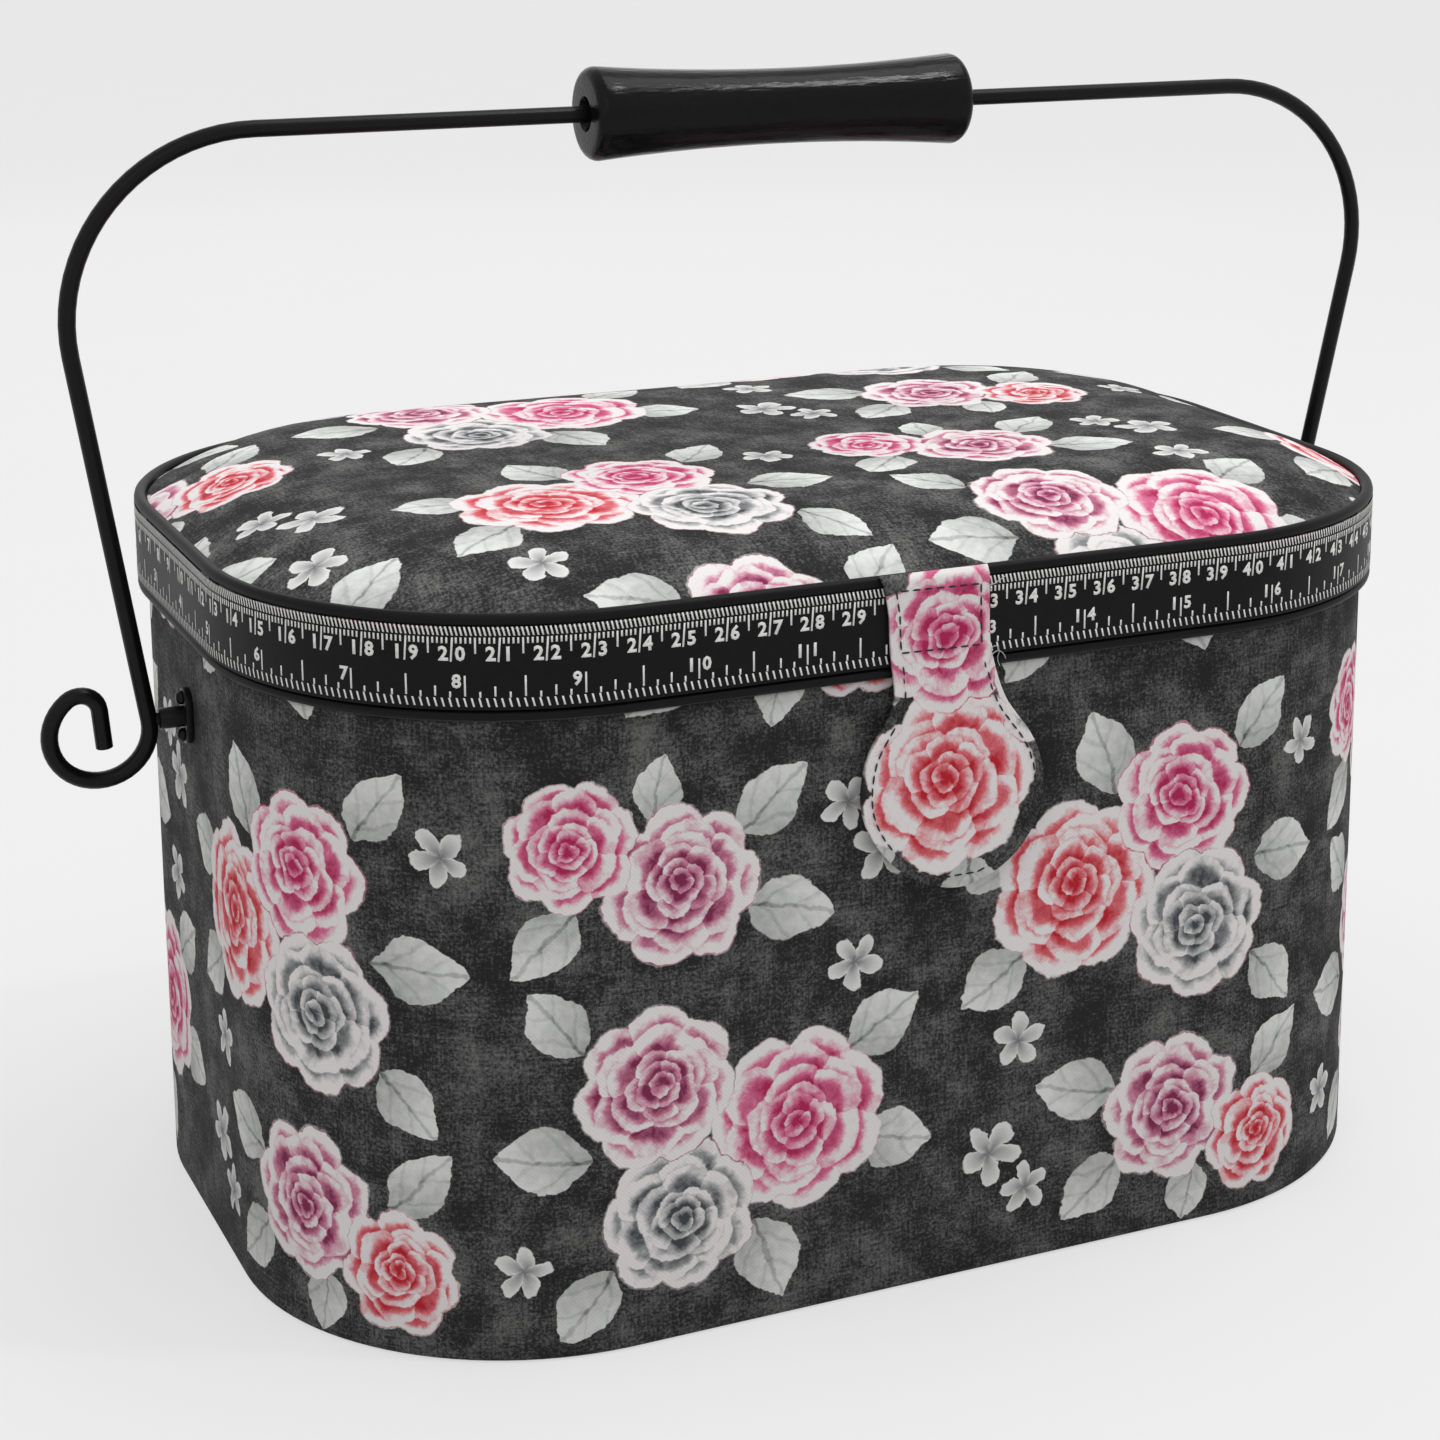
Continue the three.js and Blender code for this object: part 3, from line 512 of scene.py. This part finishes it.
def tick(s, low, high, slant=0.0):
    """A straight mark at length s, from low to high, its top leaning to the left by slant."""
    place = Matrix.Translation((s * mm, (low + high) / 2 * mm, 0))
    size = Matrix.Diagonal((mark_width * mm, (high - low) * mm, 1, 1))
    lean = Matrix.Identity(4)
    lean[0][1] = -slant / (high - low)
    bmesh.ops.create_grid(marks, x_segments=1, y_segments=1, size=0.5, matrix=place @ lean @ size)


def number(s, z, count, height):
    """A number whose digits stand on both sides of the mark at s."""
    left = max(len(str(count)) - 1, 1)
    for i, digit in enumerate(str(count)):
        place = i - left + 0.5
        x = s + place * digit_pitch + math.copysign(digit_gap, place)
        glyph = digits[digit].copy()
        glyph.transform(Matrix.Translation((x * mm, z * mm, 0))
                        @ Matrix.Scale(height * digit_scale * mm, 4))
        marks.from_mesh(glyph)
        bpy.data.meshes.remove(glyph)


half_girth = girth_of(band) / 2 / mm
sixteenth, inch_shift = 25.4 / 16, 0.54
for hand, start in ((-1, 312.75), (1, 320.02)):
    for n in range(-130, 780):
        s = n - start
        if not 1 < s * hand < half_girth:
            continue
        tick(s, 168.0, 169.9, 0.5)
        if n % 10:
            tick(s, 166.3 if n % 5 else 164.1, 167.6)
            continue
        tick(s, 162.3, 167.6, -0.4)
        if hand > 0 or s < -13:
            number(s, 163.9, n // 10 if n > 0 else n // 10 + 150, 3.1)
    for n in range(-90, 500):
        s = n * sixteenth - start - inch_shift
        if not 1 < s * hand < half_girth:
            continue
        tick(s, 152.5, 154.4, 0.5)
        if n % 8 == 0:
            tick(s, 154.8, 159.3)
        elif n % 4 == 0:
            tick(s, 154.8, 157.0)
        elif n % 2 == 0:
            tick(s, 154.5, 155.8)
        if n % 16 == 0:
            number(s, 157.9, n // 16 if n > 0 else n // 16 + 60, 2.95)
for vert in marks.verts:
    vert.co = (*around(band, vert.co.x, 0.04 * mm), vert.co.y)
piece("ruler_marks", marks, white_yarn, "lid", thickness=0.03 * mm)

# Closing tab: two layers of the printed cloth round a stiffener, sewn to the lid's side
# and edge-stitched in black, wide and round at its lower end where the snap sits.
tab_rows = [  # height, left edge, right edge, from the tab's top down
    (173.0, -16.8, 9.6), (171, -16.2, 9.8), (168.9, -15.7, 9.8), (166, -15.2, 9.8),
    (163.3, -14.8, 9.9), (160.5, -14.7, 9.9), (157.8, -14.6, 10), (155, -14.4, 10.2),
    (152.2, -14.1, 10.7), (149.5, -13.7, 11.4), (146.7, -13.4, 12.3), (144.6, -13.4, 13),
    (142.6, -13.8, 13.8), (140.6, -14.8, 14.9), (138.6, -16, 16.3), (136.7, -17.2, 17.7),
    (134.7, -18.5, 19.3), (132.8, -19.4, 20.6), (130.5, -20.3, 21.9), (128, -20.9, 22.9),
    (125, -21.3, 23.8), (122, -21.4, 24.3), (119, -21.1, 24.4), (116, -20.3, 24),
    (113.5, -19.2, 23.3), (111, -17.8, 22.3), (108.8, -16.2, 21), (106.6, -14.3, 19.5),
    (104.6, -12.2, 17.6), (102.9, -10, 15.6), (101.4, -7.6, 13.3), (100.2, -5.2, 10.9),
    (99.2, -2.5, 8.1), (98.6, 0, 5.6), (98.4, 2, 3.4)]
tab_face, tab_neck, tab_snap, tab_top = -105.85, 148, (1, 118), 171.5


def tab_front(x, z):
    """Where the tab's face stands: creased at its neck, full over the snap, bent in at its top."""
    crease = math.exp(-((z - tab_neck) / 6) ** 2) * math.sin((z - 0.35 * x) * 1.1) * 0.35
    full = 0.3 * math.exp(-((x - tab_snap[0]) ** 2 + (z - tab_snap[1]) ** 2) / 120)
    bent = 0.9 * max(z - tab_top, 0) / 1.5
    return tab_face - crease - full + bent


def tab_mesh():
    """The tab, its rows drawn closer at both edges and its cloth cut askew from the print."""
    mesh = bmesh.new()
    flat = mesh.loops.layers.uv.new("flat")
    bmesh.ops.create_grid(mesh, x_segments=20, y_segments=len(tab_rows) - 1, size=0.5)
    for vert in mesh.verts:
        z, left, right = tab_rows[round((0.5 - vert.co.y) * (len(tab_rows) - 1))]
        across = math.sin(vert.co.x * math.pi)
        x = (left + right) / 2 + (right - left) / 2 * across
        vert.co = Vector((x, tab_front(x, z) + 0.3 * across ** 8, z)) * mm
    askew, middle, cut_from = Matrix.Rotation(math.radians(-58), 2), 124, Vector((35, 92))
    for face in mesh.faces:
        for loop in face.loops:
            x, _, z = loop.vert.co / mm
            loop[flat].uv = (askew @ Vector((x, z - middle)) + cut_from) * mm
    return mesh


tab = piece("tab_cloth", tab_mesh(), print_cloth, None, ["tab_patch", "tab_flap"],
            1.4 * mm)
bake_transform(tab)

# Stitching of the tab: black thread that follows the edge, with a seam across at the lid's
# lower edge and another near the top where it holds the tab to the tape.
solid, wire_up = finish_of("dark_thread", {"Roughness": 0.7})
shade = solid.noise(2.0, 2).mix((0.004, 0.004, 0.005), (0.016, 0.015, 0.017))
dark_thread = wire_up({"Base Color": shade}, solid.noise(6.0, 2), 0.05)
stitch_inset, stitch_pitch, stitch_size = 2.3, 2.9, (2.4 * mm, 0.40 * mm, 0.46 * mm, 1)


def stitched(path):
    """Short raised stitches along a path on the tab's face."""
    mesh = bmesh.new()
    left_over = stitch_pitch / 2
    for start, end in zip(path, path[1:]):
        start, end = Vector(start), Vector(end)
        length = (end - start).length
        while left_over < length:
            x, z = start.lerp(end, left_over / length)
            turn = math.atan2(end.y - start.y, end.x - start.x)
            bmesh.ops.create_uvsphere(
                mesh, u_segments=6, v_segments=4, radius=0.5,
                matrix=Matrix.Translation(Vector((x, tab_front(x, z) - 0.05, z)) * mm)
                @ Matrix.Rotation(-turn, 4, "Y")
                @ Matrix.Diagonal(stitch_size))
            left_over += stitch_pitch
        left_over -= length
    return mesh


def tab_inset(rows, side):
    """Points of one edge of the tab, side 1 left and 2 right, moved inwards square to it."""
    edge = [Vector((row[side], row[0])) for row in rows]
    moved = []
    for before, at, after in zip([edge[0]] + edge, edge, edge[1:] + [edge[-1]]):
        run = (after - before).normalized()
        inwards = Vector((-run.y, run.x)) if side == 1 else Vector((run.y, -run.x))
        moved.append(at + inwards * stitch_inset)
    return moved


seam_top, seam_fold, seam_foot = 168.4, 154.9, 101
upper = [row for row in tab_rows if seam_fold < row[0] < seam_top + 1]
lower = [row for row in tab_rows if 99 < row[0] < seam_fold - 1]
left_edge, right_edge = tab_inset(upper, 1), tab_inset(upper, 2)
patch_seam = [right_edge[0], *left_edge, *reversed(right_edge)]
piece("tab_seam_upper", stitched(patch_seam), dark_thread, "lid")
paddle_edge = tab_inset(lower, 1) + tab_inset(lower, 2)[::-1]
flap_seam = [point for point in paddle_edge if point.y > seam_foot]
piece("tab_seam_lower", stitched(flap_seam), dark_thread, "tab")

# Loose ends: three fine pale threads beside the tab, where its seams were cut off, two at the
# fold and one at the top.
solid, wire_up = finish_of("pale_thread", {"Roughness": 0.8})
shade = solid.noise(3.0, 2).mix((0.30, 0.30, 0.30), (0.55, 0.55, 0.54))
pale_thread = wire_up({"Base Color": shade})
thread_radius, tape_front = 0.11, -104


def thread_mesh(paths):
    """Fine threads along paths of x, how far they stand out from the tape, and z."""
    threads = bpy.data.curves.new("threads", "CURVE")
    threads.dimensions, threads.bevel_depth, threads.bevel_resolution = "3D", thread_radius * mm, 1
    threads.use_fill_caps = True
    for path in paths:
        spline = threads.splines.new("NURBS")
        spline.points.add(len(path) - 1)
        spline.use_endpoint_u, spline.order_u, spline.resolution_u = True, 3, 4
        for point, (x, out, z) in zip(spline.points, path):
            point.co = (x * mm, (tape_front - out) * mm, z * mm, 1)
    mesh = bmesh.new()
    mesh.from_mesh(mesh_of(threads))
    return mesh


loose_ends = thread_mesh([
    [(10.2, 2.1, 153.9), (11.6, 1.6, 154.4), (13, 0.9, 152.6), (12.2, 0.6, 150.6), (12.9, 1, 149)],
    [(10.4, 2.0, 152.2), (11.9, 1.3, 153.2), (14.2, 0.8, 151.6), (14.6, 0.5, 150.4)],
    [(9.0, 2.1, 168.6), (10.8, 1.6, 168.2), (12.6, 0.7, 168.9), (14.4, 0.4, 169.6)]])
piece("loose_threads", loose_ends, pale_thread, "lid")

# Bail: one round steel wire, bent to a bar with round shoulders and leaning legs, each leg
# ending in a scroll outside its bracket; black stove enamel.
solid, wire_up = finish_of("black_enamel", {"Roughness": 0.3, "Specular IOR Level": 0.15})
shade = solid.noise(0.4, 3).mix((0.003, 0.003, 0.003), (0.006, 0.006, 0.006))
enamel = wire_up({"Base Color": shade}, solid.noise(1.2, 3), 0.03)
wire_radius, pivot, rise, lean = 2, 128.5, 137.5, math.radians(4.3)
foot, shoulder, setback = 154.6, 42.7, 27.6
scroll, scroll_turn, curl, curl_turn, tail = 11.45, 240, 4.5, 124, 9.2


def arc(points, centre, radius, start, end, steps):
    """Adds the points of an arc to a line of points."""
    for i in range(steps + 1):
        angle = start + (end - start) * i / steps
        points.append(centre + radius * Vector((math.cos(angle), math.sin(angle))))


def bail_half():
    """Centre line from the middle of the bar to the tip of one scroll, in x and height."""
    base, centre = Vector((foot, 0)), Vector((foot - setback, rise - shoulder))
    reach = base - centre
    lean_out = math.atan2(reach.y, reach.x) + math.acos(shoulder / reach.length)
    points = [Vector((x, rise)) for x in (0, 30, 60)]
    arc(points, centre, shoulder, math.pi / 2, lean_out, 20)
    down = Vector((math.sin(lean_out), -math.cos(lean_out)))
    away = Vector((-down.y, down.x))
    heart = base + away * scroll
    start = math.atan2(-away.y, -away.x)
    end = start + math.radians(scroll_turn)
    arc(points, heart, scroll, start, end, 28)
    inner = heart - Vector((math.cos(end), math.sin(end))) * (curl - scroll)
    stop = end + math.radians(curl_turn)
    arc(points, inner, curl, end, stop, 10)
    points.append(points[-1] + Vector((-math.sin(stop), math.cos(stop))) * tail)
    return points


def leaning(x, y, height):
    """A point of the bail in its own plane, leaned to the front about the pivots."""
    return Vector((x, y * math.cos(lean) - height * math.sin(lean),
                   pivot + y * math.sin(lean) + height * math.cos(lean))) * mm


def spun(profile, steps, closed=False):
    """A profile of radius and x turned round the x axis; a closed one is a ring."""
    mesh = bmesh.new()
    verts = [mesh.verts.new((x * mm, r * mm, 0)) for r, x in profile]
    ends = verts[1:] + verts[:1] if closed else verts[1:]
    edges = [mesh.edges.new(pair) for pair in zip(verts, ends)]
    bmesh.ops.spin(mesh, geom=verts + edges, cent=(0, 0, 0), axis=(1, 0, 0), angle=math.tau,
                   steps=steps, use_merge=True)
    bmesh.ops.remove_doubles(mesh, verts=mesh.verts, dist=0.001 * mm)
    bmesh.ops.recalc_face_normals(mesh, faces=mesh.faces)
    return mesh


half = bail_half()
line = [Vector((-p.x, p.y)) for p in reversed(half[1:])] + half
curve = bpy.data.curves.new("bail", "CURVE")
curve.dimensions, curve.bevel_depth, curve.bevel_resolution = "3D", wire_radius * mm, 4
curve.use_fill_caps = True
spline = curve.splines.new("POLY")
spline.points.add(len(line) - 1)
for point, place in zip(spline.points, line):
    point.co = (*leaning(place.x, 0, place.y), 1)
bail_mesh = bmesh.new()
bail_mesh.from_mesh(mesh_of(curve))
pin_radius, pin_end = 1.5, 147
for hand in (-1, 1):
    pin = spun([(0, pin_end * hand), (pin_radius, pin_end * hand), (pin_radius, foot * hand),
                (0, foot * hand)], 16)
    pin.transform(Matrix.Translation((0, 0, pivot * mm)))
    part = bpy.data.meshes.new("pin")
    pin.to_mesh(part)
    pin.free()
    bail_mesh.from_mesh(part)
    bpy.data.meshes.remove(part)
bmesh.ops.remove_doubles(bail_mesh, verts=bail_mesh.verts, dist=0.001 * mm)
bmesh.ops.recalc_face_normals(bail_mesh, faces=bail_mesh.faces)
piece("bail_wire_bent", bail_mesh, enamel, "handle", ["bail_wire"])

# Side brackets: each a small pressed plate with a round boss that holds the bail's pin, and
# two round-headed screws through the wall; black enamel like the bail.
plate_back, plate_face, plate_half, plate_high, plate_edge = 145.2, 146.7, 3.8, 6.7, 0.45
boss, boss_end = 2.5, 152.4
screw_rise, screw_shank, screw_head = 4.5, 1.2, 1.65


def bracket_mesh(hand):
    """The plate, rounded above and below, with its edge rolled over, and the boss on it."""
    mesh = spun([(0, plate_back + 0.3), (boss, plate_back + 0.3), (boss, boss_end - 0.5),
                 (boss - 0.15, boss_end - 0.15), (boss - 0.5, boss_end), (0, boss_end)], 32)
    straight = plate_high - plate_half
    outline = [(plate_half * math.cos(i * math.pi / 12), plate_half * math.sin(i * math.pi / 12)
                + math.copysign(straight, 11.5 - i)) for i in range(24)]
    face = mesh.faces.new([mesh.verts.new(Vector((plate_back, y, z)) * mm) for y, z in outline])
    grown = bmesh.ops.extrude_face_region(mesh, geom=[face])["geom"]
    moved = [v for v in grown if isinstance(v, bmesh.types.BMVert)]
    bmesh.ops.translate(mesh, verts=moved, vec=((plate_face - plate_back) * mm, 0, 0))
    rim = [e for e in mesh.edges if all(v in moved for v in e.verts)]
    bmesh.ops.bevel(mesh, geom=rim, offset=plate_edge * mm, segments=3, profile=0.5,
                    affect="EDGES", material=-1)
    for vert in mesh.verts:
        vert.co = Vector((hand * vert.co.x, vert.co.y, vert.co.z + pivot * mm))
    bmesh.ops.recalc_face_normals(mesh, faces=mesh.faces)
    return mesh


def screw_mesh(hand, rise_by):
    """A screw with a domed head, turned about to point into the box."""
    mesh = spun([(0, 139), (screw_shank, 139), (screw_shank, 146.75), (screw_head, 146.8),
                 (screw_head, 147.1), (1.5, 147.6), (1.15, 148.0), (0.6, 148.25), (0, 148.3)], 20)
    for vert in mesh.verts:
        vert.co = Vector((hand * vert.co.x, vert.co.y, vert.co.z + (pivot + rise_by) * mm))
    mesh.normal_update()
    bmesh.ops.recalc_face_normals(mesh, faces=mesh.faces)
    return mesh


for hand, end in ((-1, "left"), (1, "right")):
    piece("bracket_pressed_" + end, bracket_mesh(hand), enamel, "box",
          ["bracket_" + end])
    for level, rise_by in (("low", -screw_rise), ("high", screw_rise)):
        piece(f"screw_{level}_{end}", screw_mesh(hand, rise_by), enamel, "box",
              [f"bracket_screw_{level}_{end}"])

# Grip: a hollow handle turned to a waist, moulded in black plastic and free to spin on
# the wire.
solid, wire_up = finish_of("grip_black", {"Roughness": 0.17, "Specular IOR Level": 0.12})
shade = solid.noise(0.5, 3).mix((0.003, 0.003, 0.003), (0.007, 0.007, 0.007))
streaks = solid.vector("MULTIPLY", (0.15, 1, 1)).noise(1.1, 4)
grip_black = wire_up({"Base Color": shade}, streaks, 0.12)
grip_half, grip_end, grip_waist, grip_edge = 48.75, 11.1, 9.05, 2.6
mouth, mouth_depth, bore = 4.2, 2.0, 2.1


def grip_profile():
    """Radius and place along the grip, from one bore mouth to the other."""
    turned = grip_half - grip_edge
    waist = []
    for i in range(17):
        along = turned * (i / 8 - 1)
        share = (along / turned) ** 2
        waist.append((grip_waist + (grip_end - grip_waist) * share, along))
    rounding = [(grip_end - grip_edge * (1 - math.cos(a)), turned + grip_edge * math.sin(a))
                for a in (i * math.pi / 12 for i in range(1, 7))]
    lip = [(mouth, grip_half), (mouth - mouth_depth / 2, grip_half - mouth_depth),
           (bore, grip_half - mouth_depth)]
    right = rounding + lip
    left = [(r, -x) for r, x in reversed(right)]
    return left + waist + right


grip_mesh = spun(grip_profile(), 48, closed=True)
for vert in grip_mesh.verts:
    x, y, z = vert.co / mm
    vert.co = leaning(x, y, z + rise)
piece("grip_turned", grip_mesh, grip_black, "grip", ["grip"])

# Lining: black satin-weave cloth glued to the boards inside the box and the lid, a padded
# mat on the floor, and a plain cloth under the base.
flat, wire_up = finish_of("lining_black", {"Roughness": 0.6, "Specular IOR Level": 0.3}, True)
shade = flat.noise(0.2, 4).mix((0.022, 0.022, 0.024), (0.042, 0.042, 0.045))
lining_black = wire_up({"Base Color": shade}, weave(flat, 0.4), 0.04)

lining_profile = [(-4.95 * mm, z * mm) for z in (5.3, 40, 75, 110, 148.7)]
wall_lining = piece("wall_lining_cloth", wrapped(wall, lining_profile), lining_black,
                    "box", ["wall_lining"], 0.7 * mm)
rim_profile = [(-0.05 * mm, 149.1 * mm), (-2.4 * mm, 149.05 * mm), (-4.6 * mm, 149.1 * mm)]
rim_profile += [(-4.75 * mm, z * mm) for z in (149.4, 153, 157, 161, 164.3)]
rim_lining = piece("lid_rim_lining_cloth", wrapped(wall, rim_profile), lining_black,
                   "lid", ["lid_rim_lining"], 0.7 * mm)


def pillow(outline, low, high, edge, place=(0, 0), count=32, dent=None):
    """A closed pad, flat at low and rounded up, or down, to high within edge of its outline."""
    def height(inset, x, y):
        share = 1 - min(inset / mm / edge, 1)
        sunk = dent(x / mm, y / mm) if dent else 0
        return (low + (high - low) * ((1 - share ** 2) * (0.9 - sunk) + 0.1)) * mm
    mesh = panel(outline, height, count, place)
    close_below(mesh, low * mm)
    return mesh


floor_pad = piece("base_mat", pillow(drawn_in(wall, 6.0), 5.25, 7.15, 6), lining_black,
                  "box", ["base_pad"])
lid_lining = piece("lid_lining_cloth", pillow(drawn_in(wall, 4.8), 166.0, 164.65, 3),
                   lining_black, "lid", ["lid_lining"])
underlay = piece("base_underlay_cloth", pillow(drawn_in(wall, 1.3), 0.75, 0.05, 2),
                 lining_black, "box", ["base_underlay"])

# In the lid: a firmly stuffed, tufted pincushion, and a flat pocket gathered on elastic at one
# side, both of the lining's cloth and sewn to it.
tufts = [(x, y) for x in (-94, -72, -50) for y in (-13, 13)]


def tufted(x, y):
    """How far the buttons sink the pincushion."""
    return 0.55 * max(math.exp(-((x - a) ** 2 + (y - b) ** 2) / 14) for a, b in tufts)


cushion_mesh = pillow((88 * mm, 60 * mm, 14 * mm), 164.35, 156.5, 16, (-72 * mm, 0), 44, tufted)
cushion = piece("pincushion_pad", cushion_mesh, lining_black, "lid",
                ["pincushion"])


def gathers(x, y):
    """How far the pocket's folds sink, deepest at its elastic."""
    return 0.35 * (0.5 + 0.5 * math.sin(x * 1.3)) * min(max((y + 42) / 84, 0), 1) ** 3


pocket_mesh = pillow((112 * mm, 84 * mm, 10 * mm), 164.35, 162.1, 5, (62 * mm, 0), 44, gathers)
pocket = piece("lid_pocket_cloth", pocket_mesh, lining_black, "lid",
               ["lid_pocket"])

# Boards of box and lid: pressed wood fibre, cut and bent; the tray moulded in pale plastic;
# hinges and snap of blackened steel; the plates behind the brackets enamelled black.
solid, wire_up = finish_of("pressed_board", {"Roughness": 0.85})
fibres = solid.vector("MULTIPLY", (1, 1, 4)).noise(0.5, 6, 0.7)
shade = fibres.step(0.3, 0.7).mix((0.22, 0.15, 0.08), (0.40, 0.30, 0.18))
pressed_board = wire_up({"Base Color": shade}, fibres, 0.1)
solid, wire_up = finish_of("tray_moulded", {"Roughness": 0.42})
shade = solid.noise(0.08, 3).mix((0.72, 0.73, 0.74), (0.78, 0.79, 0.80))
tray_moulded = wire_up({"Base Color": shade}, solid.noise(1.5, 3), 0.02)
solid, wire_up = finish_of("blackened_steel", {"Metallic": 1.0})
brushed = solid.vector("MULTIPLY", (0.3, 8, 8)).noise(0.8, 3)
shade = brushed.mix((0.05, 0.05, 0.054), (0.12, 0.12, 0.125))
blackened = wire_up({"Base Color": shade, "Roughness": brushed * 0.2 + 0.3}, brushed, 0.01)
for name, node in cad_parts.items():
    if "board" in name or "batten" in name or name == "lid_rim":
        finish = pressed_board
    elif name == "tray":
        finish = tray_moulded
    elif "hinge" in name or "snap" in name:
        finish = blackened
    else:
        finish = enamel
    node.data.materials.clear()
    node.data.materials.append(finish)

# Hinge rivets: two domed steel heads on each hinge leaf, set through the board. On the lid
# they pass the rim, on the box the wall.
rivet_first, rivet_shifts = -66.5 * mm, (13 * mm, 120 * mm, 133 * mm)
rivet_profile = [(0, -0.8), (1.9, -0.8), (1.9, 0.1), (1.6, 0.45), (0.9, 0.68), (0, 0.75)]
for body, leaf_face, level in (("lid", 105.3, 160.5), ("box", 102.7, 138)):
    rivets = spun(rivet_profile, 16)
    for vert in rivets.verts:
        x, y, z = vert.co
        vert.co = Vector((rivet_first + y, leaf_face * mm + x, level * mm + z))
    first = rivets.verts[:] + rivets.edges[:] + rivets.faces[:]
    for shift in rivet_shifts:
        copied = bmesh.ops.duplicate(rivets, geom=first)["geom"]
        bmesh.ops.translate(rivets, vec=(shift, 0, 0),
                            verts=[part for part in copied if isinstance(part, bmesh.types.BMVert)])
    bmesh.ops.recalc_face_normals(rivets, faces=rivets.faces)
    piece("hinge_rivets_" + body, rivets, blackened, body)

# Floor and sky: a wide sheet of pale paper that catches the soft shadow. More than half of what
# the camera sees of it is its own even white, so that it stays pale far behind the box.
floor_mesh = bmesh.new()
bmesh.ops.create_grid(floor_mesh, x_segments=1, y_segments=1, size=20)
floor_data = bpy.data.meshes.new("floor")
floor_mesh.to_mesh(floor_data)
floor_mesh.free()
floor = bpy.data.objects.new("floor", floor_data)
bpy.context.collection.objects.link(floor)
solid, wire_up = finish_of("floor_paper", {"Roughness": 0.9, "Specular IOR Level": 0.2})
shade = solid.noise(0.01, 2).mix((0.63, 0.63, 0.63), (0.65, 0.65, 0.65))
paper = wire_up({"Base Color": shade})


def in_sight(flow):
    """1 for a ray from the camera or one that a gloss or a clear piece sends on, else 0."""
    camera_ray, glossy_ray, through_ray = (flow.node("LightPath", {}, {}, i) for i in (0, 3, 6))
    return camera_ray + glossy_ray + through_ray


lit = Flow(paper.node_tree, paper.node_tree.nodes["Principled BSDF"].outputs[0])
white_share = 0.6
white = lit.node("Emission", {}, {"Color": (0.97, 0.97, 0.97)})
shown = lit.node("MixShader", {}, {0: in_sight(lit) * white_share, 1: lit, 2: white})
lit.tree.links.new(shown.socket, lit.tree.nodes["Material Output"].inputs[0])
floor_data.materials.append(paper)

world = bpy.data.worlds.new("sky")
world.use_nodes = True
sky = Flow(world.node_tree, None)
_, _, up = sky.node("TexCoord").parts()
shade = up.step(0.15, 1.0).mix((0.06, 0.06, 0.06), (1.32, 1.32, 1.32))
shade = in_sight(sky).mix(shade, (0.8, 0.8, 0.8))
world.node_tree.links.new(shade.socket, world.node_tree.nodes["Background"].inputs[0])
bpy.context.scene.world = world
bpy.context.scene.view_settings.view_transform = "Standard"

bpy.context.view_layer.update()
